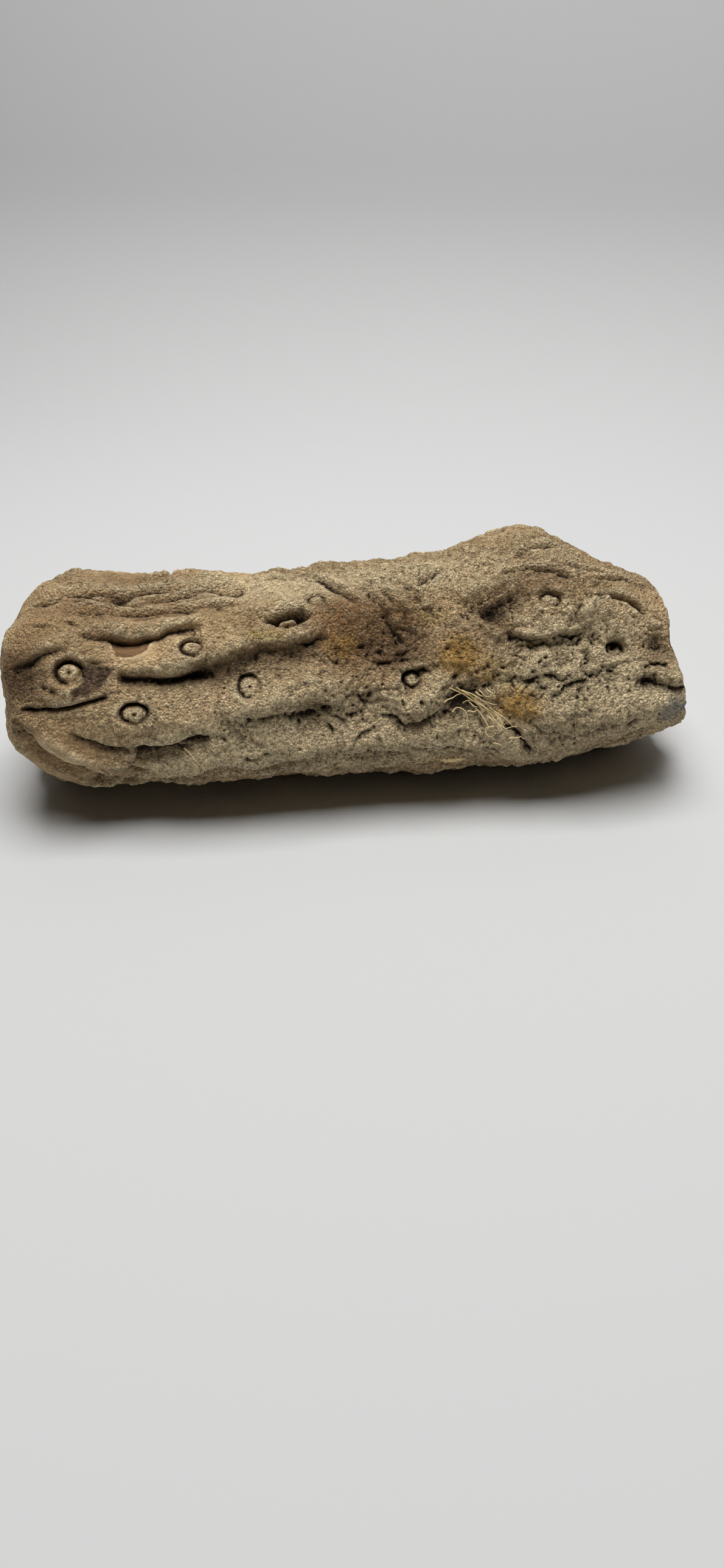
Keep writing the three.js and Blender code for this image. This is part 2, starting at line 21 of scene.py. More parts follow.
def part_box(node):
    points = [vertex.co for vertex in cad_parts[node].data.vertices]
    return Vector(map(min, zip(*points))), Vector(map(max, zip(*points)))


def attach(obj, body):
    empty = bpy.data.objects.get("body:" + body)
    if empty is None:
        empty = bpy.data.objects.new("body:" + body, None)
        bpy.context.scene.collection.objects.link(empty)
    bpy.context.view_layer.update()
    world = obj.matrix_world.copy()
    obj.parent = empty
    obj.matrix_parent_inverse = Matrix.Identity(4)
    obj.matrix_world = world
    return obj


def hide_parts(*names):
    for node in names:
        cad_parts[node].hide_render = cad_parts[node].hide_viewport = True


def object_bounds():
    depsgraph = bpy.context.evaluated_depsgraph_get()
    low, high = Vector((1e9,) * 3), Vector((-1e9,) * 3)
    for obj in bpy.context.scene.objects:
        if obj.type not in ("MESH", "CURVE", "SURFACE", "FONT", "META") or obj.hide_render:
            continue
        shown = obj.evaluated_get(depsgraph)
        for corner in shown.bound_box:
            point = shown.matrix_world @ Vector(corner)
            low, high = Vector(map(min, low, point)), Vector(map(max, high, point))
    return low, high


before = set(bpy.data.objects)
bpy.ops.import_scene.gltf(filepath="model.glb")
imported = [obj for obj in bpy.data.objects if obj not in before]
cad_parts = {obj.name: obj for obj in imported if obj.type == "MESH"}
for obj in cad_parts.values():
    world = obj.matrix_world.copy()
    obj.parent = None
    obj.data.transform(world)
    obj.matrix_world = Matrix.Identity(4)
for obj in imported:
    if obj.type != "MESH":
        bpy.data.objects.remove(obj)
CAD_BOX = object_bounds()

LOG = logging.getLogger("fossil_root")
MM = 0.001  # a millimetre in metres
Array = np.ndarray
Place = tuple[float, float]
Path = Sequence[Place]
IN_RADIANS = (1, math.pi / 180)  # turns the second number of each place to radians
IN_DEGREES = (1, 180 / math.pi)  # and back
MEAN_RADIUS = 32  # of the root
LEAST_RADIUS = 25  # of the root, where a turn spans the fewest millimetres


class Mark(Enum):
    """What a patch of the stone carries. The value names its vertex attribute."""

    # dirt in the hollows, together with painted shade in creases, pits and recesses and at the left
    # end
    DIRT_AND_SHADE = "dirt_and_shade"
    # worn places, together with painted highlight on crests and painted light on the low front
    WEAR_AND_LIGHT = "wear_and_light"
    OCHRE = "ochre"
    RUST = "rust"
    UMBER = "umber"
    LEMON = "lemon"
    PLUM = "plum"
    SLATE = "slate"
    SMOOTH = "smooth"


# ------------------------------------------------------------------ the root's own shape
@dataclass(frozen=True)
class Scar:
    """Where a rootlet grew: a dished disc with a ring groove, a boss and a pit in it."""

    along: float
    around: float
    width: float
    dish: float
    groove: float
    boss: float
    pit: float = 0.5
    collar: float = 0.25
    deep: float | None = None  # the side where its ring is deepest, in degrees from +X upwards
    tall: float = 1.0  # its height over its width


@dataclass(frozen=True)
class Crease:
    """A fold, groove, crack or ledge that follows a path, or a ridge if its depth is below zero.

    The lip is raised on its upper side and may hang over it, the lower side steps in, and
    lean makes the groove run out slowly on the lower side.
    """

    path: Path
    depth: float = 0.0
    half: float = 1.0  # half its width
    lip: float = 0.0
    step: float = 0.0
    lean: float = 1.0
    hang: float = 0.0
    rise: float = 0.8  # how far the groove's upper wall reaches, over half
    taper: float = 4.0  # length over which its ends fade


@dataclass(frozen=True)
class Swell:
    """A lump, or a hollow where its height is below zero."""

    along: float
    around: float
    height: float
    length: float
    breadth: float


@dataclass(frozen=True)
class Flake:
    """A place where the crust has come off, with a sharp edge and a smoother floor."""

    outline: Path
    depth: float
    edge: float
    mark: Mark | None = None
    slope: float = 0.0  # how much deeper it gets for each mm towards its upper side


@dataclass(frozen=True)
class Tint:
    """A soft patch of colour."""

    mark: Mark
    along: float
    around: float
    length: float
    breadth: float
    strength: float


# radii of the plain root at places along it, every 30 degrees around
STATIONS = {
    -100: (30, 27, 27, 26, 28, 28, 27, 26, 26, 28, 27, 29),
    -85: (32, 30, 29, 28, 33, 32, 30, 29, 28, 31, 27, 32),
    -60: (33, 30, 28, 27, 33, 33, 31, 30, 29, 32, 27, 33),
    -30: (33, 29, 28, 27, 30, 31, 32, 31, 30, 32, 28, 33),
    0: (33, 29, 29, 29, 32, 32, 32, 31, 31, 32, 30, 33),
    30: (33, 30, 30, 30, 34, 35, 35, 33, 32, 32, 31, 34),
    55: (36, 31, 32, 34, 40, 40, 38, 35, 33, 32, 29, 34),
    80: (34.5, 29, 28, 27, 27, 29, 33, 32, 30, 30, 26, 30),
    100: (31, 28, 27, 25, 25, 25, 26, 26, 26, 27, 24, 26),
}

# along, around, width, dish, groove, boss, pit, collar, deep, tall
SCARS = (
    Scar(-77.5, 35, 8.0, 1.2, 2.1, 1.2, 0.9, 0.5, 120),
    Scar(-61.5, 12, 8.6, 0.9, 2.3, 0.9, 1.3, 0.2, 100, 0.66),
    Scar(-45.5, 44.5, 6.6, 1.4, 1.7, 1.3, 0.6, 0.3, 150, 0.9),
    Scar(-31, 22, 6.6, 0.5, 1.7, 0.8, 0.8, 0.4, 150),
    Scar(-19.6, 58.5, 7.2, 0.6, 1.6, 2.3, 0.3, 0.0, 110, 0.7),
    Scar(12.6, 20, 5.6, 2.6, 1.9, 1.9, 0.4, 0.0, 150),
    Scar(70.2, 30, 5.4, 2.6, 1.3, 1.0, 0.2, 0.3, 110),
    Scar(52.5, 59, 6.4, 1.0, 1.3, 1.0, 0.2, 0.1, 50),
    Scar(-4, 9, 7.0, 0.2, 0.5, 0.2, 0.4, 0.0),
    Scar(-65, 86, 6.0, 2.8, 0.3, 0.5, 0.1, 0.0, 200),
    Scar(-34, 91, 7.5, 1.8, 0.2, 0.2, 0.1, 0.0),
    Scar(-11, 75, 5.6, 1.0, 0.9, 0.6, 0.2, 0.0, 90),
)
# where the rows of scars lie around, and how they are spread along
SCAR_ROWS = (122, 150, 178, 206, 234, 304)
SCAR_ROW_ENDS = (-82, 81)
SCAR_SPACING = 32
SCAR_SCATTER = 7.5

# path, depth, half, then the other fields by name
CREASES = (
    # the long fold down the left part of the front, undercut: a slot, then a broad shade
    Crease(((-65, 31.5), (-62, 30), (-56, 29), (-50, 29), (-45, 31), (-41, 34)), 4.0, 2.0, lip=0.6,
           rise=1.0, lean=1.5, hang=1.4),
    Crease(((-47, 28), (-41, 31), (-37, 34), (-32, 37), (-27, 40), (-22, 41), (-18, 41.5),
            (-14, 44), (-7, 48)), 1.8, 1.6, lip=0.6, rise=1.6, lean=2.4, hang=0.6, taper=8),
    Crease(((-17, 44), (-14, 46), (-10, 48.5)), 1.6, 0.8, lip=0.3, hang=0.5),
    # the second fold on the shoulder
    Crease(((-75, 55), (-72, 54), (-69, 53.5), (-66, 54), (-61, 51.5), (-58, 52.5), (-54, 53),
            (-52, 56), (-45, 58), (-42, 57)), 2.2, 1.0, lip=0.7, lean=2.2, hang=0.8, taper=9),
    Crease(((-93, 41), (-89, 43), (-86, 45), (-83, 47), (-80, 47), (-77, 46)), 1.7, 1.0, lip=1.3,
           lean=2.6, hang=0.6),
    Crease(((-78, 39.5), (-74, 40), (-70, 40), (-66, 38)), 1.0, 0.8, lip=0.8, lean=1.6, hang=0.4),
    Crease(((-91, 16), (-88, 16), (-85, 16.5), (-81, 17), (-77, 18), (-72, 19), (-68, 21)), 2.6,
           1.0, lip=1.3, lean=1.2, hang=1.0),
    Crease(((-82, 27), (-80, 24.5), (-77, 24)), -0.7, 1.0),
    Crease(((-79, 4), (-76, 1), (-72, -2), (-69, -4), (-64, -6)), 2.0, 0.9, lip=0.6, lean=2.8,
           hang=0.5),
    Crease(((-63, -7), (-60, -6), (-56, -5), (-52, -4), (-47, -1.5), (-42, -1)), 3.4, 1.8, lip=1.0,
           lean=2.0, hang=1.0),
    Crease(((-65, -14), (-62, -17), (-59, -18)), 1.1, 0.7, lip=0.3),
    Crease(((-88, 10), (-84, 3), (-80, -3), (-75, -9), (-69, -13), (-62, -15)), -1.2, 1.0, rise=0.9,
           lean=1.4, taper=10),
    Crease(((-90, 4), (-86, -2), (-82, -8), (-76, -14), (-70, -18)), 1.3, 0.8, lip=0.5, lean=1.6,
           taper=10),
    # folds that flow over the left shoulder, each lit above and shaded below
    Crease(((-86, 98), (-77, 98), (-70, 98), (-64, 97), (-55, 97), (-47, 100), (-38, 104),
            (-28, 105)), -2.0, 1.9, rise=1.8, lean=0.8, taper=22),
    Crease(((-84, 94), (-77, 94), (-70, 94), (-64, 93), (-55, 93), (-45, 96)), 1.6, 1.0, lean=1.8,
           hang=0.4, taper=20),
    Crease(((-66, 81), (-60, 84), (-54, 89), (-48, 93), (-40, 97), (-30, 99)), -1.7, 1.7, rise=2.0,
           lean=0.8, taper=16),
    Crease(((-58, 82), (-49, 88), (-41, 92), (-30, 93)), 1.6, 1.0, lean=1.8, hang=0.4, taper=14),
    Crease(((-84, 88), (-79, 87), (-73, 81), (-70, 79.5), (-63, 75), (-56, 75), (-50, 77),
            (-42, 76), (-38, 77), (-28, 81)), -1.8, 1.7, rise=1.9, lean=0.8, taper=22),
    Crease(((-88, 87), (-80, 90), (-74, 88), (-69, 85), (-62, 79.5), (-54, 79.5), (-47, 82),
            (-36, 83)), 1.8, 1.0, lip=0.6, lean=1.7, hang=0.6, taper=18),
    Crease(((-80, 76), (-70, 72), (-63, 70), (-56, 69), (-50, 71), (-42, 72), (-28, 76)), 1.2, 1.0,
           lip=0.3, lean=2.8, hang=0.3, taper=22),
    Crease(((-72, 66), (-62, 65), (-54, 66), (-42, 70)), 0.6, 0.8, lip=0.4, lean=2, taper=14),
    Crease(((-80, 58), (-69, 60), (-65, 61), (-60, 59), (-56, 60), (-52, 62), (-38, 64)), -1.5, 2.8,
           rise=2.2, lean=0.8, taper=18),
    Crease(((-88, 51), (-80, 53), (-76, 53), (-68, 52)), -1.2, 2.0, taper=12),
    # the broad brow over the long fold, and the trough below it
    Crease(((-70, 37), (-62, 36), (-56, 36), (-50, 36), (-42, 39), (-36, 42), (-30, 46), (-22, 47),
            (-15, 49), (-5, 53)), -1.4, 2.4, rise=1.6, taper=16),
    Crease(((-62, 24), (-48, 24), (-38, 27), (-30, 32), (-20, 34), (-6, 39)), 1.2, 3.6, rise=1.0,
           lean=1.3, taper=18),
    Crease(((-88, 68), (-86, 68), (-84, 66), (-82, 64)), 1.5, 0.7, lip=0.9, hang=0.3),
    Crease(((-81, 67), (-78, 66), (-76, 64), (-74, 59)), 1.1, 0.8, lip=0.8, lean=1.5),
    Crease(((-93, 92), (-88, 91), (-84, 91), (-79, 89)), 1.4, 0.7, lip=0.9),
    Crease(((-81, 101), (-77, 103), (-73, 104)), 1.2, 0.8, lip=0.7),
    Crease(((-25, 98), (-21, 100), (-18, 97)), 1.0, 0.7, lip=0.4),
    # the sharp lower edges of the front, undercut below
    Crease(((-92, 12), (-89, 4), (-85, -3), (-81, -9), (-76, -14), (-73, -19), (-67, -24)),
           step=5.2, half=1.6, lip=2.0, depth=0.8, hang=1.4),
    Crease(((-67, -25), (-61, -26), (-55, -24), (-48, -21), (-43, -17), (-39, -15), (-32, -17),
            (-24, -19), (-20, -19)), step=5.0, half=1.5, lip=2.0, depth=0.6, hang=1.4),
    Crease(((-24, -17), (-16, -13), (-11, -10), (-7, -10.5), (-3, -13), (4, -13), (9, -14.5),
            (13, -20)), step=4.2, half=1.2, lip=2.0, depth=0.8, hang=1.2),
    Crease(((49, -26), (53, -22), (59, -18), (66, -14), (73, -13), (80, -14)), step=3.0, half=1.2,
           lip=1.6, depth=0.8, hang=1.0),
    # the bank under the long fold, and its dark underside
    Crease(((-39, 11), (-33, 12), (-29, 13), (-22, 14), (-16, 17), (-9, 20), (-3, 24)), -2.4, 2.6,
           rise=2.2, taper=10),
    Crease(((-1, 19), (4, 13), (9, 9.5), (13, 6.5), (18, 6), (24, 4)), -2.2, 2.2, rise=2.0,
           taper=8),
    Crease(((-33, 6), (-27, 7), (-22, 7), (-19, 5), (-15, 4)), 0.9, 1.0, lean=3.0, taper=8),
    Crease(((3, 4), (8, 2.5), (10, -1.5), (14, -0.5), (18, 1)), 2.0, 0.9, lip=0.6, lean=2.6,
           hang=0.7),
    # small cracks low on the front
    Crease(((-35, -10), (-30, -11), (-27, -9), (-25, -10)), 1.1, 0.6, lip=0.4),
    Crease(((4, -4.5), (3, -8), (4, -12)), 1.3, 0.5),
    Crease(((-5, -9), (-3, -5), (2, -2)), 0.9, 0.6, lip=0.5),
    # the twisted saddle in the middle
    Crease(((-11, 107), (-9, 102), (-4, 87), (0, 73), (3, 65)), -1.4, 0.9, rise=1.5, lean=1.0),
    Crease(((-12, 104), (-8, 94), (-3, 76), (0, 68)), 1.2, 0.9, lip=0.5, lean=1.8),
    Crease(((3, 92), (5, 85), (9, 74), (12, 64), (14, 56), (16, 44)), -1.6, 1.2, rise=2.0,
           lean=1.1),
    Crease(((1, 84), (4, 75), (6, 66), (8, 58), (10, 48), (13, 38)), 1.3, 1.1, lip=0.8, lean=2.0,
           hang=0.3, taper=9),
    Crease(((8, 92), (11, 84), (16, 74), (19, 64)), 0.9, 0.8, lip=0.9),
    Crease(((6, 78), (9, 68), (10, 60)), 0.8, 0.6, lip=0.5),
    Crease(((2, 29), (4, 30), (8, 30.5), (11, 31), (15, 30)), 1.4, 0.8, lip=1.0, lean=1.4,
           hang=0.5),
    Crease(((5, 33), (10, 34), (14, 36.5)), 0.9, 0.7, lip=0.8, hang=0.3),
    # the dark crescents over the open scars
    Crease(((-25.5, 58), (-24, 63.5), (-20, 68), (-15.5, 66), (-13, 59.5)), 4.2, 1.6, lip=0.6,
           rise=0.7, lean=2.0, hang=1.6),
    Crease(((9.7, 18.5), (10.6, 22.5), (13.5, 25), (17, 25.5)), 2.4, 0.9, lip=0.4, rise=0.7,
           lean=1.6, hang=0.8),
    Crease(((-67.5, 84), (-66, 87.5), (-63, 88), (-61.5, 85)), 2.4, 0.9, lip=0.3, lean=1.8,
           hang=0.8),
    Crease(((50.5, 61), (53, 63), (55.5, 61), (56, 58)), 1.6, 0.8, lip=0.3, lean=1.6, hang=0.6),
    # the rim round the open scar
    Crease(((8, 16), (10, 21.5), (14, 26.5), (18, 25.5), (21, 20), (18, 13), (12, 10.5)), -0.9,
           0.9),
    # cracks and folds of the right part
    Crease(((15, -13), (19, -13), (23, -12.5), (28, -15), (33, -15.5), (38, -16)), 1.4, 0.6,
           lip=0.5, hang=0.3),
    Crease(((37, -4), (40, -6), (42, -8), (44, -13), (46, -15)), 2.4, 1.1, lip=0.6, lean=1.3,
           hang=0.6),
    Crease(((29, 65), (33, 69), (38, 74), (41, 72), (44, 66)), -2.6, 2.2, rise=1.6, lean=0.9,
           taper=6),
    Crease(((34, 61), (38, 62), (43, 63), (47, 62)), 0.9, 1.6, lean=2.6, hang=0.3),
    Crease(((39, 45), (41, 42), (44, 38), (47, 38), (51, 38), (55, 39), (58, 39.5), (62, 39)), 2.4,
           1.1, lip=1.7, lean=3.0, hang=1.0),
    Crease(((45, 37), (46, 33), (48, 30)), 1.2, 0.7, lip=0.5),
    Crease(((28, 62), (31, 50), (34, 42), (37, 36)), 0.9, 0.9, lip=0.9, lean=2),
    Crease(((38, 19), (44, 17), (50, 18), (55, 16)), 0.9, 0.8, lip=0.9, lean=1.6),
    Crease(((66, 22), (62, 16), (57, 15), (52, 11), (47, 12)), 0.8, 0.8, lip=0.9, lean=1.4,
           taper=8),
    Crease(((54, 4), (58, 1), (63, 3)), 1.1, 0.8, lip=0.7, lean=2.5),
    Crease(((57, 32), (60, 28), (63, 24)), 0.9, 0.9, lip=0.7, lean=2.5),
    Crease(((61.5, 43), (61.5, 50), (63.5, 54), (66.5, 57), (70, 58)), -2.6, 1.2, rise=1.2,
           lean=1.4),
    Crease(((65, 55), (66.5, 59), (71, 63), (75, 63), (78, 60), (80, 55), (81, 50)), 3.0, 1.2,
           lip=1.2, lean=1.4, hang=1.0, taper=6),
    Crease(((60, 43), (59.5, 50), (61, 56)), 1.0, 0.9),
    Crease(((40, 76), (42, 81), (45, 83), (49, 81), (53, 78), (56, 75), (59, 72), (61, 67)), 1.7,
           0.8, step=0.9, lip=0.9, hang=0.4),
    Crease(((56, 79), (64, 82), (72, 84), (80, 89)), 1.8, 0.7, lip=0.9, hang=0.4),
    Crease(((16, 77), (18, 80), (20, 84), (26, 93)), 1.5, 0.8, lip=0.8),
    Crease(((29, 94), (33, 84), (34, 75)), 1.5, 0.8, lip=0.8),
    Crease(((66, 74), (72, 77), (79, 79), (85, 78)), 1.4, 0.7, lip=0.8),
    Crease(((44, 92), (52, 95), (60, 94), (68, 97)), 1.4, 0.8, lip=0.8, taper=10),
    Crease(((76, 19), (79, 20), (82, 20), (86, 17.5)), 2.0, 0.7, lip=1.1, hang=0.5),
    Crease(((80, 10), (84, 8.5), (88, 7), (92, 6)), 1.8, 1.2, lean=1.2),
    Crease(((71, -7), (73, -5), (76, -3.5)), 1.9, 0.8, lip=0.6, hang=0.4),
    # the corners of the eye-shaped scar
    Crease(((-67.5, 11), (-65.5, 12)), 1.0, 0.4),
    Crease(((-57.5, 12), (-55.8, 11)), 1.0, 0.4),
    # folds over the back and the underside
    Crease(((-88, 136), (-60, 132), (-35, 138), (-8, 131)), 2.6, 1.8, lip=1.8, lean=2.6, hang=0.8,
           taper=16),
    Crease(((-70, 166), (-40, 172), (-12, 165)), 1.8, 1.4, lip=1.2, lean=2.4, taper=16),
    Crease(((8, 150), (32, 158), (60, 152), (84, 160)), 2.6, 1.8, lip=1.8, lean=2.6, hang=0.8,
           taper=16),
    Crease(((-84, 196), (-58, 190), (-30, 196)), 1.6, 1.2, lip=1.0, lean=1.8),
    Crease(((2, 186), (30, 192), (55, 186)), 1.4, 1.2, lip=1.0, lean=1.8),
    Crease(((-50, 222), (-20, 218), (12, 224)), 1.2, 1.2, lip=0.6),
    Crease(((34, 220), (58, 226), (80, 220)), 1.2, 1.2, lip=0.6),
    Crease(((-76, -44), (-50, -48), (-22, -43)), 1.4, 1.3, lip=0.6),
    Crease(((10, -40), (36, -45), (60, -41)), 1.2, 1.2, lip=0.6),
)

SWELLS = tuple(
    Swell(*row)
    for row in (
        # along, around, height, length, breadth
        (-70, 28, -1.6, 6, 6), (-46, 52, -1.8, 3.4, 2.2), (-33, 10, 1.6, 26, 5),
        (-40, 52, 1.4, 12, 5), (-92, 32, -4.2, 8, 9), (-66, 104, -1.4, 14, 6),
        (-58, -9, -1.4, 5, 2.5), (-55, -12, 1.2, 6, 2.4), (-20, 4, -1.2, 3.0, 1.8),
        (-15, 5, -3.0, 2.6, 1.7), (-11, 8, -1.8, 2.0, 1.2), (-29, 60, -1.2, 4, 4),
        (-20, 64, -3.4, 5.5, 3.2), (-6, 8, 1.6, 4, 3.4), (-14, 6, -2.0, 18, 4.2),
        (24, 3.5, -2.2, 12, 3.2), (-8, -9, 3.2, 32, 5), (32, -6, 1.5, 22, 7), (60, -4, 2.4, 18, 7),
        (68, 4, 2.0, 8, 5), (68, 18, -1.2, 5, 3), (43, -18, 2.8, 14, 6), (44, -5, -1.4, 10, 4),
        (48, 16, 1.6, 9, 4), (57, 14, -2.8, 16, 5), (-13, 11, -1.5, 4, 2.4), (1, 12, -2.0, 3.4, 3),
        (2, 40, -3.2, 12, 8), (11, 42, -1.2, 4.5, 7), (24, 60, -1.6, 10, 7),
        (17.5, 24, -2.4, 2.4, 1.8), (11, 13.5, -1.0, 1.2, 0.9), (13, 12.5, -1.0, 1.2, 0.9),
        (20, -8, 1.0, 8, 6), (26.5, 9, -3.6, 5, 3.4), (37, 57, -4.6, 6, 5),
        (40, 86, 1.2, 1.8, 1.8), (43, 6, 1.0, 6, 4), (47, 28, 1.0, 3, 2.6), (58, 8, 1.1, 8, 6),
        (57, 30, 0.9, 3, 2.6), (70, 50, 2.4, 6, 4.5), (70.2, 31.5, -3.2, 2.1, 1.7),
        (62, 36, -1.4, 4, 3), (78.5, 11, -4.2, 3.4, 2.4), (83, 30, -4.0, 4.5, 4.5),
        (86, 14.5, 2.8, 5, 2.4), (84, 1, 2.6, 7, 3.6), (67, -13, -3.0, 2.4, 2.0),
        (11, -14, -1.4, 1.6, 1.4), (-84, 27, -1.3, 0.9, 0.8), (-82, 24.5, -1.8, 1.4, 1.0),
        (-40, 150, 1.5, 16, 6), (30, 172, -1.6, 14, 6), (-10, 190, 1.4, 12, 6),
    )
)

# outline, depth, edge, mark, slope
FLAKES = (
    Flake(((-67, 54), (-61, 53), (-55, 54), (-56.5, 49), (-57, 45), (-58.5, 42.5),
           (-61, 41), (-65.5, 42.5), (-66, 47)), 1.0, 0.4, Mark.RUST),
    Flake(((-75, 38.5), (-69, 38), (-66, 35), (-67.5, 31), (-69.5, 25), (-73, 21.5),
           (-77, 20.5), (-77, 24), (-74.5, 28), (-74, 34)), 1.3, 1.8, Mark.PLUM),
    Flake(((-62, -8), (-54, -6), (-44, -4), (-41, -8), (-46, -13), (-55, -14)), 0.5, 0.8),
    Flake(((-17, 0), (-13, 3), (-9, -2), (-4, -4), (-8, -13), (-16, -16), (-20, -8)),
          0.0, 1.8, slope=0.2),
    Flake(((-5, -9), (-3, -5), (2, -2), (4, -8), (3, -15), (-4, -16)), 0.0, 1.2, slope=0.2),
    Flake(((13, 0), (18, 2), (22, 3), (27, 1), (30, -6), (25, -11), (15, -11), (12, -6)),
          0.0, 1.8, slope=0.15),
    Flake(((46, -4), (51, -1), (56, 0), (64, -3), (62, -12), (52, -15), (45, -12)),
          0.0, 1.8, slope=0.1),
    Flake(((42, 33), (50, 36), (60, 35), (63, 27), (62, 17), (50, 14), (40, 22)),
          0.0, 2.0, slope=0.2),
)

TINTS = tuple(
    Tint(mark, *row)
    for mark, rows in {
        # along, around, length, breadth, strength
        Mark.UMBER: (
            (-2, 51, 12, 14, 0.7), (7, 47, 12, 12, 0.7), (37, 47, 5, 5, 0.6), (30, 34, 13, 9, 0.5),
            (-88, 60, 6, 7, 0.4), (78, 86, 20, 12, 0.3), (-62, 106, 12, 5, 0.4),
            # the patches at (-91, 38) and (-88, 22) darken the left end where it turns from the
            # lamp: painted shade
            (-70, 64, 16, 8, 0.25), (-91, 38, 7, 9, 0.6), (-88, 22, 8, 12, 0.4),
            (-64, 80, 26, 9, 0.45), (-40, 158, 26, 10, 0.5), (82, 28, 6, 6, 0.5),
            (58, -8, 16, 9, 0.3), (0, -2, 22, 6, 0.22), (60, 92, 16, 8, 0.25),
            (-76, -14, 16, 8, 0.35),
        ),
        Mark.LEMON: ((-26, 49.5, 6, 1.6, 0.7), (21, 56, 5, 3, 0.45), (37, 22, 4, 4, 0.4)),
        Mark.OCHRE: (
            (-6, 42, 5, 4, 0.6), (26, 31, 6, 5.5, 0.85), (31, 26, 5, 3, 0.6),
            (33, 19, 3, 1.6, 0.7), (41, 6, 6.5, 4.5, 0.9), (46, 170, 22, 9, 0.4),
        ),
        Mark.RUST: ((49, 72, 11, 5, 0.6),),
        Mark.PLUM: (
            (-71, 29, 4, 5, 0.4), (9, 41, 8, 8, 0.4), (-34, 34, 10, 4, 0.4), (-20, 41, 9, 2.5, 0.4),
        ),
        Mark.SLATE: ((86, -2.5, 5, 4.2, 0.8),),
        Mark.WEAR_AND_LIGHT: (
            # the broad patches low on the front, at (-10, -8) and (55, 8), are painted light on
            # faces that turn from the lamp; the rest lighten worn places and crests
            (20, 140, 34, 8, 0.6), (-60, 186, 24, 8, 0.5), (-30, 12, 34, 10, 0.3),
            (-10, -8, 46, 12, 0.85), (55, 8, 38, 22, 0.9), (0, 90, 46, 9, 0.65),
            (62, 88, 26, 9, 0.4),
        ),
        Mark.DIRT_AND_SHADE: (
            # the patch at (-92, 36) darkens the left end where it turns from the lamp, painted
            # shade; the others darken hollows with dirt and painted shade
            (-92, 36, 8, 11, 0.26), (-62, 86, 24, 9, 0.14), (39, 59, 6, 4, 0.25),
            (26, 8.5, 5, 3.4, 0.55),
        ),
        Mark.SMOOTH: ((-82, -12, 10, 10, 0.6), (-60, 44, 6, 4, 0.8)),
    }.items()
    for row in rows
)


class Noise:
    """Seeded gradient noise of points in millimetres, from about -1 to 1."""

    SIZE = 256
    GAIN = 1.6  # stretches the noise to its range
    SCATTER = 0.45  # how far a cell's point lies from the cell's middle, over its size

    def __init__(self, seed: int) -> None:
        """Draws the lattice.

        Args:
            seed: The same seed gives the same noise.
        """
        draw = np.random.default_rng(seed)
        slopes = draw.normal(size=(self.SIZE, 3))
        self.order = draw.permutation(self.SIZE)
        self.slopes = slopes / np.linalg.norm(slopes, axis=1)[:, None]

    def pick(self, cells: Array) -> Array:
        """Picks a slope for each cell.

        Args:
            cells: Whole numbers, three in a row.

        Returns:
            The slopes' indices, which look random but are always the same for a cell.
        """
        picked = np.zeros(len(cells), int)
        for column in cells.T:
            picked = self.order[(picked + column) % self.SIZE]
        return picked

    def at(self, points: Array, wave: float | Sequence[float]) -> Array:
        """Noise of one wavelength.

        Args:
            points: Points, one in a row.
            wave: Wavelength, or one for each axis.

        Returns:
            One value for each point.
        """
        scaled = points / np.asarray(wave)
        cell = np.floor(scaled).astype(int)
        part = scaled - cell
        ease = part**3 * (part * (part * 6 - 15) + 10)
        total = np.zeros(len(points))
        for corner in product((0, 1), repeat=3):
            weight = np.where(corner, ease, 1 - ease).prod(axis=1)
            total += weight * ((part - corner) * self.slopes[self.pick(cell + corner)]).sum(axis=1)
        return self.GAIN * total

    def cells(self, points: Array, size: float) -> tuple[Array, Array]:
        """Distance to the nearest of scattered points, one in each cell.

        Args:
            points: Points, one in a row.
            size: Size of a cell.

        Returns:
            The distance in cells, and a number from 0 to 1 of the cell it lies in.
        """
        scaled = points / size
        cell = np.floor(scaled).astype(int)
        nearest = np.full(len(points), np.inf)
        owner = np.zeros(len(points))
        for step in product((-1, 0, 1), repeat=3):
            index = self.pick(cell + step)
            centre = cell + step + 0.5 + self.SCATTER * self.slopes[index]
            distance = np.linalg.norm(scaled - centre, axis=1)
            closer = distance < nearest
            nearest[closer] = distance[closer]
            owner[closer] = index[closer] / (self.SIZE - 1)
        return nearest, owner


def bell(x: Array) -> Array:
    """Bell curve, 1 at 0 and near 0 beyond 2."""
    return np.exp(-x * x)


def ramp(x: Array, low: float, high: float) -> Array:
    """Smooth step from 0 at low to 1 at high."""
    t = np.clip((x - low) / (high - low), 0, 1)
    return t * t * (3 - 2 * t)


def turn_between(angle: Array, around: float) -> Array:
    """Turn in radians, at most half a circle, from a place's degrees to each angle."""
    turn = angle - math.radians(around)
    return np.arctan2(np.sin(turn), np.cos(turn))


def smooth_path(path: Path, leg: float = 1.6) -> Array:
    """A path rounded through its places.

    Args:
        path: Places along and around.
        leg: Rough length of its legs in millimetres.

    Returns:
        Places along and in radians, one in a row.
    """
    knots = np.array(path, float) * IN_RADIANS
    padded = np.vstack((2 * knots[0] - knots[1], knots, 2 * knots[-1] - knots[-2]))
    found = []
    for before, start, end, after in zip(padded, padded[1:], padded[2:], padded[3:]):
        length = math.hypot(end[0] - start[0], MEAN_RADIUS * (end[1] - start[1]))
        count = max(1, round(length / leg))
        t = (np.arange(count) / count)[:, None]
        bend = (3 * (start - end) + after - before) * t
        bend = (bend + 2 * before - 5 * start + 4 * end - after) * t
        found.append(start + 0.5 * t * (end - before + bend))
    return np.vstack((*found, knots[-1:]))


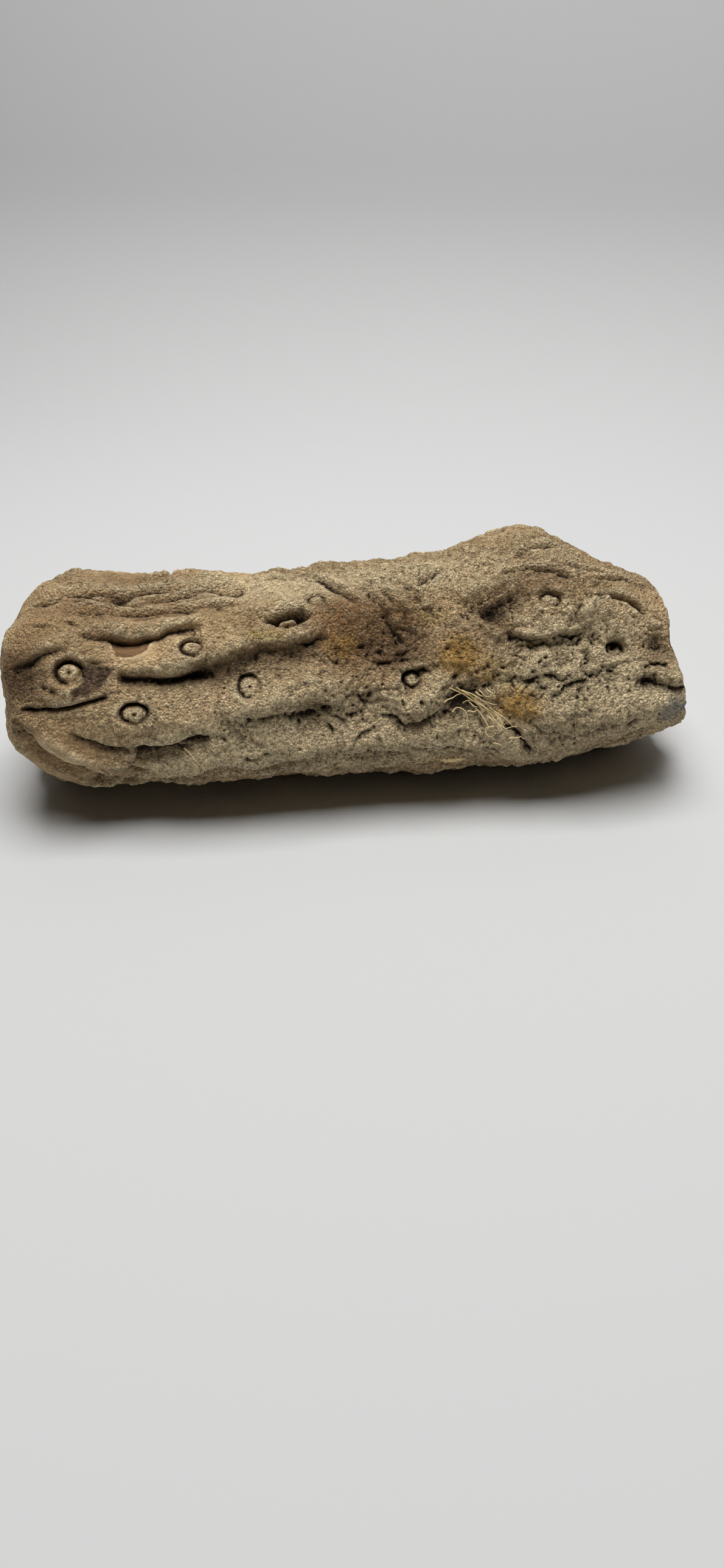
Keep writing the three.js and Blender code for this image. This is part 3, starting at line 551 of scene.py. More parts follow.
@dataclass(frozen=True)
class Spots:
    """Places on the plain root: millimetres along it, radians around it and its radius there."""

    along: Array
    angle: Array
    radius: Array

    def off(self, along: float, around: float) -> tuple[Array, Array]:
        """How far the spots lie from a place, in millimetres along and upwards."""
        return self.along - along, self.radius * turn_between(self.angle, around)

    def moved(self, along: Array, up: Array) -> "Spots":
        """The spots moved by millimetres along and upwards."""
        return Spots(self.along + along, self.angle + up / self.radius, self.radius)

    def some(self, chosen: Array) -> "Spots":
        """Those of the spots that an index or a mask chooses."""
        return Spots(self.along[chosen], self.angle[chosen], self.radius[chosen])

    def points(self) -> Array:
        """The spots in space, one in a row: along, to the front and up from the axis line."""
        front, up = self.radius * np.cos(self.angle), self.radius * np.sin(self.angle)
        return np.stack((self.along, front, up), axis=1)


@dataclass
class Skin:
    """What the relief does at each spot: its height, its slide along the skin and its marks."""

    height: Array
    slide: Array
    marks: dict[Mark, Array]

    def cover(self, mark: Mark, patch: Array) -> None:
        """Makes a mark at least as strong as a patch of it."""
        self.marks[mark] = np.maximum(self.marks[mark], patch)


class Beside(NamedTuple):
    """Where the spots near a path lie beside it."""

    near: Array  # indices of those spots
    side: Array  # their distance to the path, above zero on its upper side
    up: Array  # the way up across the path there, along and upwards
    to_end: Array  # their distance to the nearer of its ends, measured along it


class Relief:
    """The folds, scars, cracks, flakes and crust of the root's skin."""

    # a scar's parts, as radii and widths over the scar's own radius
    SCAR_REACH = 2.2
    DISH = 1.6
    RING, RING_WIDTH = 0.84, 0.15
    BOSS = 0.66
    PIT_WIDTH = 0.14
    COLLAR, COLLAR_WIDTH = 1.25, 0.22
    # lengths over which a lip grows from its ends and a flake's slope goes on
    LIP_GROWTH = 10
    SLOPE_REACH = 12
    # heights and wavelengths of the weathered skin; a lump's height follows the roughness
    WAVES = (1.2, 22)
    LUMP = 9
    STREAKS = (0.35, (26, 4.2, 4.2))
    KNOBS = (1.0, 5)
    BILLOWS = ((1.5, 3.6), (0.8, 1.8))
    GRIT = (0.28, 0.8)
    WARP = (1.5, 4)  # how far the crust is pushed about, in waves of this length
    # spacing and depth
    PITS = (3.4, 1.2)
    SMALL_PITS = (1.7, 0.8)

    def __init__(self) -> None:
        """Draws the noise and sets out the rows of scars."""
        self.noise = Noise(7)
        self.fine = Noise(23)
        self.scars = (*SCARS, *self.row_scars())

    @staticmethod
    def row_scars() -> list[Scar]:
        """Staggered rows of scars over the back and low on the front.

        Returns:
            The scars.
        """
        first, last = SCAR_ROW_ENDS
        found = []
        for row, around in enumerate(SCAR_ROWS):
            for along in range(first + SCAR_SPACING // 2 * (row % 2), last, SCAR_SPACING):
                vary = math.sin(0.9 * along + 2.4 * row) / 2
                shift = SCAR_SCATTER * vary
                scar = Scar(along + shift, around + shift, 7.5, 1.1 + vary, 0.8, 0.9 - vary)
                found.append(scar)
        return found

    def at(self, spots: Spots) -> Skin:
        """The relief at places of the skin.

        Args:
            spots: The places.

        Returns:
            The skin there.
        """
        count = len(spots.along)
        skin = Skin(np.zeros(count), np.zeros((count, 2)), {mark: np.zeros(count) for mark in Mark})
        places = spots.points()
        rough = self.roughness(spots, places)
        ragged = [
            (0.1 + 0.8 * rough)
            * (0.8 * self.fine.at(places + far, 5) + 0.35 * self.fine.at(places + far, 1.7))
            for far in (0, 90)
        ]
        bent = spots.moved(*ragged)
        half_bent = spots.moved(*(0.5 * shift for shift in ragged))
        for tint in TINTS:
            self.tint(skin, tint, spots)
        for flake in FLAKES:
            self.flake(skin, flake, bent)
        for crease in CREASES:
            self.crease(skin, crease, bent)
        for swell in SWELLS:
            self.swell(skin, swell, spots)
        for scar in self.scars:
            self.scar(skin, scar, half_bent)
        self.weather(skin, places, rough)
        return skin

    def roughness(self, spots: Spots, places: Array) -> Array:
        """How rough the crust is: smooth on the left shoulder, rough in the middle and right.

        Args:
            spots: The places.
            places: The same places in space.

        Returns:
            One value for each place, 0.6 where nothing changes it.
        """
        patches = self.noise.at(places + 70, 15)
        middle = bell((spots.along - 30) / 52) * bell(turn_between(spots.angle, 20))
        shoulder = ramp(-spots.along, -10, 45) * bell(turn_between(spots.angle, 75) / 0.8)
        return np.clip(0.6 + 0.35 * patches + 0.5 * middle - 0.35 * shoulder, 0.2, 1.3)

    @staticmethod
    def tint(skin: Skin, tint: Tint, spots: Spots) -> None:
        """Lays a soft patch of colour.

        Args:
            skin: The skin that takes it.
            tint: The patch.
            spots: Where the skin is.
        """
        x, y = spots.off(tint.along, tint.around)
        r = np.hypot(x / tint.length, y / tint.breadth)
        skin.cover(tint.mark, tint.strength * ramp(-r, -1.6, -0.5))

    @staticmethod
    def swell(skin: Skin, swell: Swell, spots: Spots) -> None:
        """Raises a lump or sinks a hollow, which is darkened with dirt and painted shade.

        Args:
            skin: The skin that takes it.
            swell: The lump or hollow.
            spots: Where the skin is.
        """
        x, y = spots.off(swell.along, swell.around)
        shape = swell.height * bell(np.hypot(x / swell.length, y / swell.breadth))
        skin.height += shape
        skin.marks[Mark.DIRT_AND_SHADE] += np.clip(-shape - 0.5, 0, None) * 0.12

    def scar(self, skin: Skin, scar: Scar, spots: Spots) -> None:
        """Cuts a rootlet scar, with its ring and pit darkened by dirt and painted shade, and a worn
        boss.

        Args:
            skin: The skin that takes it.
            scar: The scar.
            spots: Where the skin is.
        """
        x, y = spots.off(scar.along, scar.around)
        x, y = x / (scar.width / 2), y / (scar.width / 2 * scar.tall)
        near = np.hypot(x, y) < self.SCAR_REACH
        x, y = x[near], y[near]
        r = np.hypot(x, y)
        deep = 1.0  # how deep the ring is here, over its own depth
        if scar.deep is not None:
            way = math.radians(scar.deep)
            deep = 0.65 + 0.55 * (x * math.cos(way) + y * math.sin(way)) / (r + 0.01)
        dish = scar.dish * np.clip(1 - (r / self.DISH) ** 2, 0, None) ** 2
        groove = scar.groove * deep * bell((r - self.RING) / self.RING_WIDTH)
        boss = scar.boss * np.clip(1 - (r / self.BOSS) ** 4, 0, None)
        pit = scar.pit * bell(r / self.PIT_WIDTH)
        collar = scar.collar * bell((r - self.COLLAR) / self.COLLAR_WIDTH)
        skin.height[near] += boss + collar - dish - groove - pit
        skin.marks[Mark.DIRT_AND_SHADE][near] += 0.4 * groove + 0.5 * pit + 0.08 * dish * (r > 0.6)
        skin.marks[Mark.WEAR_AND_LIGHT][near] += 0.25 * boss

    @staticmethod
    def nearest(path: Path, spots: Spots, reach: float) -> Beside:
        """Finds the spots near a path.

        Args:
            path: Places along and around.
            spots: The spots to choose from.
            reach: How far from the path they may be.

        Returns:
            Where they lie beside it.
        """
        line = smooth_path(path)
        middle = math.degrees((line[:, 1].min() + line[:, 1].max()) / 2)
        off_middle = turn_between(spots.angle, middle)
        span = (line[:, 1].max() - line[:, 1].min()) / 2 + reach / LEAST_RADIUS
        near = (spots.along > line[:, 0].min() - reach) & (spots.along < line[:, 0].max() + reach)
        near = np.flatnonzero(near & (np.abs(off_middle) < span))
        r = spots.radius[near, None]
        heights = line[:, 1] - math.radians(middle)
        off_x = spots.along[near, None] - line[None, :-1, 0]
        off_y = r * (off_middle[near, None] - heights[None, :-1])
        run_x = np.broadcast_to(np.diff(line[:, 0])[None], off_x.shape)
        run_y = r * np.diff(heights)[None]
        length = np.hypot(run_x, run_y)
        t = np.clip((off_x * run_x + off_y * run_y) / length**2, 0, 1)
        distance = np.hypot(off_x - t * run_x, off_y - t * run_y)
        best = np.arange(len(near)), distance.argmin(axis=1)
        way = 1 if line[-1, 0] >= line[0, 0] else -1
        up = np.stack((-run_y, run_x), axis=2)[best] * way / length[best][:, None]
        side = np.where((off_x * -run_y + off_y * run_x)[best] * way >= 0, 1, -1)
        gone = length.cumsum(axis=1) - length
        travelled = gone[best] + t[best] * length[best]
        to_end = np.minimum(travelled, length.sum(axis=1) - travelled)
        return Beside(near, side * distance[best], up, to_end)

    def crease(self, skin: Skin, crease: Crease, spots: Spots) -> None:
        """Cuts a groove along a path, with its lip, its step and what hangs over.

        Args:
            skin: The skin that takes it.
            crease: The groove, fold or ledge.
            spots: Where the skin is.
        """
        reach = crease.half * max(6.0, 3.0 * crease.lean, crease.rise + 4.5)
        near, side, up, to_end = self.nearest(crease.path, spots, reach)
        s = side / crease.half  # the distance across, over half the groove's width
        away = np.where(s > 0, s, -s / max(1.0, crease.lean))
        fade = np.sqrt(np.clip(to_end / crease.taper, 0, 1)) * bell(np.clip(away - 4, 0, None))
        fade *= np.clip(0.9 + 0.4 * self.fine.at(spots.some(near).points(), 6), 0.4, 1.2)
        core = bell(np.where(s > 0, s / crease.rise, s / crease.lean))
        groove = crease.depth * core
        brow = crease.rise + 0.5
        ends = np.clip(to_end / self.LIP_GROWTH, 0, 1)
        lip = crease.lip * ends * ramp(s, 0, brow) * bell(np.clip(s - brow, 0, None) / 3.2)
        under = crease.step * ramp(-s, 0, 1) * bell(s / 4)
        over = ends * fade * crease.hang * bell((s - crease.rise) / 0.8)
        skin.height[near] += fade * (lip - groove - under)
        skin.slide[near] -= over[:, None] * up
        sharp = bell(np.where(s > 0, s / 0.7, s / 1.1))
        # the groove and the ground under a step darken with dirt and painted shade; a ridge's crest
        # lightens with painted highlight
        skin.marks[Mark.DIRT_AND_SHADE][near] += fade * (0.22 * max(crease.depth, 0) * sharp + 0.1 * under)
        skin.marks[Mark.WEAR_AND_LIGHT][near] += fade * 0.1 * max(-crease.depth, 0) * core

    def flake(self, skin: Skin, flake: Flake, spots: Spots) -> None:
        """Takes the crust off inside an outline.

        Args:
            skin: The skin that takes it.
            flake: The outline and how deep it goes.
            spots: Where the skin is.
        """
        along, radius = spots.along, spots.radius
        corners = np.array((*flake.outline, flake.outline[0])) * IN_RADIANS
        turned = turn_between(spots.angle, math.degrees(corners[0, 1])) + corners[0, 1]
        inside = np.zeros(len(along), bool)
        best = np.full(len(along), np.inf)
        for (x0, y0), (x1, y1) in zip(corners, corners[1:]):
            cross = x0 + (turned - y0) / (y1 - y0 + 1e-9) * (x1 - x0)
            inside ^= ((y0 > turned) != (y1 > turned)) & (along < cross)
            run = np.stack((np.full(len(along), x1 - x0), radius * (y1 - y0)))
            off = np.stack((along - x0, radius * (turned - y0)))
            t = np.clip((off * run).sum(axis=0) / (run * run).sum(axis=0), 0, 1)
            best = np.minimum(best, np.hypot(*(off - t * run)))
        depth = ramp(np.where(inside, best, -best), -flake.edge / 2, flake.edge / 2)
        above = np.clip(radius * (turned - corners[:, 1].min()), 0, self.SLOPE_REACH)
        skin.height -= (flake.depth + flake.slope * above) * depth
        if flake.mark is Mark.RUST:
            skin.cover(Mark.SMOOTH, 0.9 * depth)
        if flake.mark:
            skin.cover(flake.mark, depth)

    def weather(self, skin: Skin, places: Array, roughness: Array) -> None:
        """Roughens the skin with broad waves, streaks, a knobbly crust and pits.

        Each layer of noise reads the places from another distance, so that no two are alike.

        Args:
            skin: The skin that takes it.
            places: Where the skin is, in space.
            roughness: How rough it is there.
        """
        noise, fine = self.noise, self.fine
        rough = roughness * (1 - skin.marks[Mark.SMOOTH])
        broad = self.WAVES[0] * noise.at(places, self.WAVES[1])
        broad = broad + (0.5 + 0.7 * rough) * noise.at(places, self.LUMP)
        streaks = self.STREAKS[0] * noise.at(places + 40, self.STREAKS[1])
        warps = [fine.at(places + 50 * k, self.WARP[1]) for k in (1, 2, 3)]
        warped = places + self.WARP[0] * np.stack(warps, axis=1)
        (high, wave), (less, short) = self.BILLOWS
        crust = self.KNOBS[0] * noise.at(warped + 15, self.KNOBS[1])
        crust += high * np.abs(fine.at(warped, wave))
        crust += (
            less * np.abs(fine.at(warped + 10, short))
            + self.GRIT[0] * fine.at(places + 20, self.GRIT[1])
            - 0.5
        )
        gap, owner = fine.cells(warped, self.PITS[0])
        pits = (owner > 0.8) * ramp(-gap, -0.36, -0.05) * rough
        small_gap, small_owner = noise.cells(warped, self.SMALL_PITS[0])
        small = (small_owner > 0.7) * ramp(-small_gap, -0.42, -0.1) * rough
        # the pits darken with dirt and painted shade
        skin.marks[Mark.DIRT_AND_SHADE] += 0.2 * pits + 0.16 * small
        skin.cover(Mark.SMOOTH, np.clip(0.6 - rough, 0, 0.25))
        skin.height += broad + streaks + rough * crust
        skin.height -= self.PITS[1] * pits + self.SMALL_PITS[1] * small


class RootForm:
    """The cast's whole surface, as a can with rounded rims that its girth and relief shape."""

    AXIS_HEIGHT = 30.0  # of the axis line over the floor
    SHIFT = (0.2, -0.6)  # of the whole along X and Y
    CORES = (97, 95)  # how far the left and right ends reach on the axis line
    RIMS = (  # how far they reach at their rims, every 30 degrees around
        (101, 103, 100, 95, 93, 95, 97, 97, 97, 96, 91, 92),
        (105, 98, 94, 91, 92, 93, 95, 97, 99, 100, 105, 107),
    )
    RIM_SQUARENESS = 8
    BREAKS = (  # planes that break off each end: how far out, and how much more back and up
        ((97, -0.06, 0.02), (100, 0.22, -0.1), (99, -0.12, -0.24)),
        ((95, -0.1, -0.22), (95, 0.16, -0.28), (98, -0.1, 0.1)),
    )
    BREAK_CORE = 0.5  # the part of each end's radius that the relief of the side leaves alone

    def __init__(self) -> None:
        """Makes the relief."""
        self.relief = Relief()

    @staticmethod
    def round_the_ring(values: Array, angle: Array) -> Array:
        """Catmull-Rom interpolation of values spaced evenly round a circle.

        Args:
            values: The values, in one row or in one row for each angle.
            angle: Where to read them, in radians.

        Returns:
            One value for each angle.
        """
        values = np.broadcast_to(values, (len(angle), np.shape(values)[-1]))
        count = values.shape[1]
        step = (angle / (2 * math.pi)) % 1 * count
        at = np.floor(step).astype(int)
        f = step - at
        row = np.arange(len(angle))
        a, b, c, d = (values[row, (at + k) % count] for k in (-1, 0, 1, 2))
        return b + 0.5 * f * (c - a + f * (2 * a - 5 * b + 4 * c - d + f * (3 * (b - c) + d - a)))

    @staticmethod
    def girth(along: Array, angle: Array) -> Array:
        """Radius of the plain root, eased between its stations.

        Args:
            along: Millimetres from the middle.
            angle: Radians from the front over the top.

        Returns:
            One radius for each place.
        """
        stations = np.array(list(STATIONS), float)
        radii = np.array(list(STATIONS.values()), float)
        slopes = np.gradient(radii, stations, axis=0)
        at = np.clip(np.searchsorted(stations, along) - 1, 0, len(stations) - 2)
        gap = (stations[at + 1] - stations[at])[:, None]
        t = np.clip((along - stations[at])[:, None] / gap, 0, 1)
        ring = (
            (1 + 2 * t) * (1 - t) ** 2 * radii[at]
            + t * (1 - t) ** 2 * gap * slopes[at]
            + t * t * (3 - 2 * t) * radii[at + 1]
            + t * t * (t - 1) * gap * slopes[at + 1]
        )
        return RootForm.round_the_ring(ring, angle)

    def surface(self, x: Array, across: Array, angle: Array) -> tuple[Array, dict[Mark, Array]]:
        """The surface that belongs to points of the unit can.

        Args:
            x: From -1 at the left end to 1 at the right end.
            across: From 0 on the axis line to 1 on the side.
            angle: Radians from the front over the top.

        Returns:
            Points in millimetres, one in a row, and the marks on them.
        """
        power = self.RIM_SQUARENESS
        squash = (np.abs(x) ** power + across**power) ** (-1 / power)
        left, right = (self.round_the_ring(np.array(rim, float), angle) for rim in self.RIMS)
        core = np.where(x < 0, self.CORES[0], self.CORES[1])
        rim = np.where(x < 0, left, right)
        along = x * squash * (core + (rim - core) * across)
        girth = self.girth(along, angle)
        skin = self.relief.at(Spots(along, angle, girth))
        onto = ramp(across, self.BREAK_CORE, 1)
        radius = across * squash * (girth + skin.height * onto)
        along = along + skin.slide[:, 0] * onto
        angle = angle + skin.slide[:, 1] * onto / girth
        y = -radius * np.cos(angle)
        up = radius * np.sin(angle)
        along = self.broken_off(along, np.sign(x), y, up)
        points = np.stack(
            (along + self.SHIFT[0], y + self.SHIFT[1], np.maximum(self.AXIS_HEIGHT + up, 0)), axis=1
        )
        return points, skin.marks

    def broken_off(self, along: Array, end: Array, y: Array, up: Array) -> Array:
        """Holds places back to the broken faces of the ends.

        Args:
            along: Millimetres from the middle.
            end: -1 for places of the left half and 1 for those of the right.
            y: How far back they are from the axis line.
            up: How far above it they are.

        Returns:
            Where the places are along the root once the ends have broken off.
        """
        face = np.stack((9 * end, y, up), axis=1)
        fine = self.relief.fine
        rough = 1.2 * self.relief.noise.at(face, 9) + 0.45 * fine.at(face, 3.2)
        rough += 0.22 * fine.at(face + 30, 1.4)
        left, right = (
            np.min([out + back * y + lean * up + rough for out, back, lean in planes], axis=0)
            for planes in self.BREAKS
        )
        return np.clip(along, -left, right)

    def place(self, path: Array, lift: Array) -> Array:
        """Points above the skin.

        Args:
            path: Places along and around, one in a row.
            lift: How many mm each is above the skin.

        Returns:
            The points in metres, one in a row.
        """
        along, angle = path[:, 0], np.radians(path[:, 1])
        reach = np.where(along > 0, self.CORES[1], self.CORES[0])
        found, _ = self.surface(along / reach, np.ones(len(path)), angle)
        out = np.stack((np.zeros(len(path)), -np.cos(angle), np.sin(angle)), axis=1)
        return (found + lift[:, None] * out) * MM


# ------------------------------------------------------------------ small helpers
def linear(colour: str) -> tuple[float, float, float, float]:
    """Turns a colour from sRGB to linear.

    Args:
        colour: An sRGB hex value such as "#ffffff".

    Returns:
        Linear red, green, blue and alpha.
    """
    parts = [int(colour[i : i + 2], 16) / 255 for i in (1, 3, 5)]
    red, green, blue = (p / 12.92 if p <= 0.04045 else ((p + 0.055) / 1.055) ** 2.4 for p in parts)
    return red, green, blue, 1.0


def add_node(tree: bpy.types.NodeTree, kind: str, inputs: dict, **settings: Any) -> bpy.types.Node:
    """Adds a node.

    Args:
        tree: The material's node tree.
        kind: The node's type, without the "ShaderNode" before it.
        inputs: Its inputs by name or number: a value, an output, or a node's first output.
        **settings: Its own settings.

    Returns:
        The node.
    """
    node = tree.nodes.new("ShaderNode" + kind)
    for name, value in settings.items():
        setattr(node, name, value)
    for name, value in inputs.items():
        if isinstance(value, bpy.types.Node):
            value = value.outputs[0]
        if isinstance(value, bpy.types.NodeSocket):
            tree.links.new(value, node.inputs[name])
        else:
            node.inputs[name].default_value = value
    return node


def select_only(obj: bpy.types.Object) -> None:
    """Selects one object and makes it active.

    Args:
        obj: The object.
    """
    bpy.ops.object.select_all(action="DESELECT")
    obj.select_set(True)
    bpy.context.view_layer.objects.active = obj


def new_material(name: str) -> tuple[bpy.types.Material, bpy.types.NodeTree]:
    """Makes a material without nodes.

    Args:
        name: Its name.

    Returns:
        The material and its node tree.
    """
    material = bpy.data.materials.new(name)
    material.use_nodes = True
    material.node_tree.nodes.clear()
    return material, material.node_tree


def mesh_rows(parts: Any, name: str) -> Array:
    """Reads three numbers of each part of a mesh, such as the places of its vertices.

    Args:
        parts: The mesh's collection of parts.
        name: What to read.

    Returns:
        One part in a row.
    """
    flat = np.zeros(len(parts) * 3, np.float32)
    parts.foreach_get(name, flat)
    return flat.reshape(-1, 3)


# ------------------------------------------------------------------ finishes
@dataclass(frozen=True)
class Layer:
    """A colour laid in blotches of a size in millimetres, everywhere or where a mark is.

    It grows from nothing where the blotches' noise is low to its strength where it is high.
    """

    colour: str
    blotch: float
    low: float
    high: float
    strength: float
    mark: Mark | None = None


@dataclass(frozen=True)
class Speckle:
    """How a pattern's values, from low to high, shade the stone, from dark to light."""

    low: float
    high: float
    dark: float
    light: float


@dataclass(frozen=True)
class SandstoneFinish:
    """Fine sandstone with iron stains, weathered: matt, gritty, with dirt and painted shade in its
    hollows and painted highlight on its crests.
    """

    body: str = "#e0bd8f"
    layers: tuple[Layer, ...] = (
        Layer("#b2946a", 17, 0.42, 0.62, 0.8),
        Layer("#b09167", 9, 0.48, 0.66, 0.7),
        Layer("#e6cda0", 4.5, 0.5, 0.7, 0.6),
        Layer("#967c58", 2.1, 0.54, 0.7, 0.5),
        # pale where its mark is: wear, painted highlight on crests and painted light low on the
        # front
        Layer("#f4ddb2", 0.9, 0.28, 0.6, 0.85, Mark.WEAR_AND_LIGHT),
        Layer("#85592d", 1.3, 0.25, 0.62, 0.8, Mark.UMBER),
        Layer("#8c6b4c", 1.6, 0.2, 0.6, 0.8, Mark.RUST),
        Layer("#cc9b47", 1.3, 0.3, 0.7, 0.8, Mark.OCHRE),
        Layer("#ccb062", 1.3, 0.36, 0.7, 0.8, Mark.LEMON),
        Layer("#6a5544", 1.3, 0.3, 0.6, 0.75, Mark.PLUM),
        Layer("#a3a19c", 1.3, 0.35, 0.6, 0.75, Mark.SLATE),
        # dark where its mark is: dirt, and painted shade in hollows, creases, pits and at the left
        # end
        Layer("#3a2b1c", 0.8, 0.2, 0.55, 0.9, Mark.DIRT_AND_SHADE),
    )
    roughness: float = 0.93
    quartz_ior: float = 1.54
    specular: float = 0.3
    grain_mm: float = 0.7  # real grains are 0.2 to 0.5 mm; drawn coarser so that they show
    grain: Speckle = Speckle(0, 1, 0.68, 1.36)
    pore_mm: float = 1.3  # spacing of the pores between the grains, drawn coarser as well; they darken the colour, painted shade in them
    pore: Speckle = Speckle(0.38, 0.47, 0.55, 1)
    dust_mm: float = 0.42  # real dust is far finer; drawn as coarse as it needs to show
    dust: Speckle = Speckle(0.3, 0.7, 0.6, 1.46)
    grit_mm: float = 2.6  # how far the grains stand out, for the bump
    grain_height: float = -0.5  # of a grain's rim under its middle, where 1 is the pores' depth
    smooth_shade: float = 0.95  # takes the speckle's place where the skin is smooth
    smooth_grit: float = 0.6  # how much of the grit a smooth skin lacks

    def material(self) -> bpy.types.Material:
        """Builds the stone's material.

        Returns:
            The material.
        """
        material, tree = new_material("weathered_sandstone")
        where = add_node(tree, "TexCoord", {}).outputs["Object"]
        shade: Any = linear(self.body)
        for layer in self.layers:
            cover = self.cover(tree, where, layer)
            mix = {0: cover, 6: shade, 7: linear(layer.colour)}
            shade = add_node(tree, "Mix", mix, data_type="RGBA").outputs[2]
        grains = add_node(tree, "TexVoronoi", {"Vector": where, "Scale": 1 / (self.grain_mm * MM)})
        tones = add_node(tree, "SeparateColor", {"Color": grains.outputs["Color"]})
        pores, dust = (
            add_node(
                tree, "TexNoise",
                {"Vector": where, "Scale": 1 / (size * MM), "Detail": detail, "Roughness": rough},
            )
            for size, detail, rough in ((self.pore_mm, 5, 0.7), (self.dust_mm, 2, 0.5))
        )
        speckled: Any = 1.0
        for pattern, speckle in ((tones, self.grain), (pores, self.pore), (dust, self.dust)):
            shading = add_node(
                tree, "MapRange",
                {"Value": pattern, "From Min": speckle.low, "From Max": speckle.high,
                 "To Min": speckle.dark, "To Max": speckle.light},
            )
            speckled = add_node(tree, "Math", {0: speckled, 1: shading}, operation="MULTIPLY")
        smooth = add_node(tree, "Attribute", {}, attribute_name=Mark.SMOOTH.value).outputs["Fac"]
        even = add_node(tree, "Mix", {0: smooth, 2: speckled, 3: self.smooth_shade})
        grained = add_node(tree, "VectorMath", {0: shade, "Scale": even}, operation="SCALE")
        relief = add_node(
            tree, "Math", {0: grains, 1: self.grain_height, 2: pores}, operation="MULTIPLY_ADD"
        )
        grit = add_node(
            tree, "Math", {0: smooth, 1: -self.smooth_grit, 2: 1.0}, operation="MULTIPLY_ADD"
        )
        bump = add_node(
            tree, "Bump", {"Strength": grit, "Distance": self.grit_mm * MM, "Height": relief}
        )
        shader = add_node(
            tree, "BsdfPrincipled",
            {"Base Color": grained, "Roughness": self.roughness, "IOR": self.quartz_ior,
             "Specular IOR Level": self.specular, "Normal": bump},
        )
        add_node(tree, "OutputMaterial", {"Surface": shader})
        return material

    @staticmethod
    def cover(tree: bpy.types.NodeTree, where: Any, layer: Layer) -> bpy.types.Node:
        """Works out how much a layer covers.

        Args:
            tree: The material's node tree.
            where: The output that holds the place.
            layer: The layer.

        Returns:
            The node that gives its cover, from 0 to 1.
        """
        blotch = add_node(
            tree, "TexNoise",
            {"Vector": where, "Scale": 1 / (layer.blotch * MM), "Detail": 4, "Roughness": 0.62},
        )
        cover = add_node(
            tree, "MapRange",
            {"Value": blotch, "From Min": layer.low, "From Max": layer.high,
             "To Max": layer.strength},
        )
        if not layer.mark:
            return cover
        mark = add_node(tree, "Attribute", {}, attribute_name=layer.mark.value).outputs["Fac"]
        # a full mark covers all but the thinnest places of its blotches
        thick = add_node(tree, "Math", {0: mark, 1: 0.5, 2: cover}, operation="MULTIPLY_ADD")
        return add_node(tree, "Math", {0: thick, 1: mark}, operation="MULTIPLY", use_clamp=True)


@dataclass(frozen=True)
class DryFibreFinish:
    """Dead moss and grass, bleached: thin straw stems, matt, in two tones."""

    colour: str = "#ecd9aa"
    shade: str = "#d2b57e"
    roughness: float = 0.8
    specular: float = 0.3
    patch_mm: float = 2.5
    rib_mm: float = 0.2  # spacing of the stems' ribs
    rib_depth_mm: float = 0.03

    def material(self) -> bpy.types.Material:
        """Builds the fibres' material.

        Returns:
            The material.
        """
        material, tree = new_material("dry_straw")
        where = add_node(tree, "TexCoord", {}).outputs["Object"]
        patch, ribs = (
            add_node(tree, "TexNoise", {"Vector": where, "Scale": 1 / (size * MM)})
            for size in (self.patch_mm, self.rib_mm)
        )
        mix = {0: patch, 6: linear(self.colour), 7: linear(self.shade)}
        tint = add_node(tree, "Mix", mix, data_type="RGBA").outputs[2]
        bump = add_node(tree, "Bump", {"Distance": self.rib_depth_mm * MM, "Height": ribs})
        shader = add_node(
            tree, "BsdfPrincipled",
            {"Base Color": tint, "Roughness": self.roughness,
             "Specular IOR Level": self.specular, "Normal": bump},
        )
        add_node(tree, "OutputMaterial", {"Surface": shader})
        return material


@dataclass(frozen=True)
class PaperFinish:
    """Matt white backdrop paper, uncoated, with hardly a sheen."""

    colour: str = "#d2d3d4"
    roughness: float = 0.9
    specular: float = 0.1

    def material(self) -> bpy.types.Material:
        """Builds the paper's material.

        Returns:
            The material.
        """
        material, tree = new_material("backdrop_paper")
        shader = add_node(
            tree, "BsdfPrincipled",
            {"Base Color": linear(self.colour), "Roughness": self.roughness,
             "Specular IOR Level": self.specular},
        )
        add_node(tree, "OutputMaterial", {"Surface": shader})
        return material


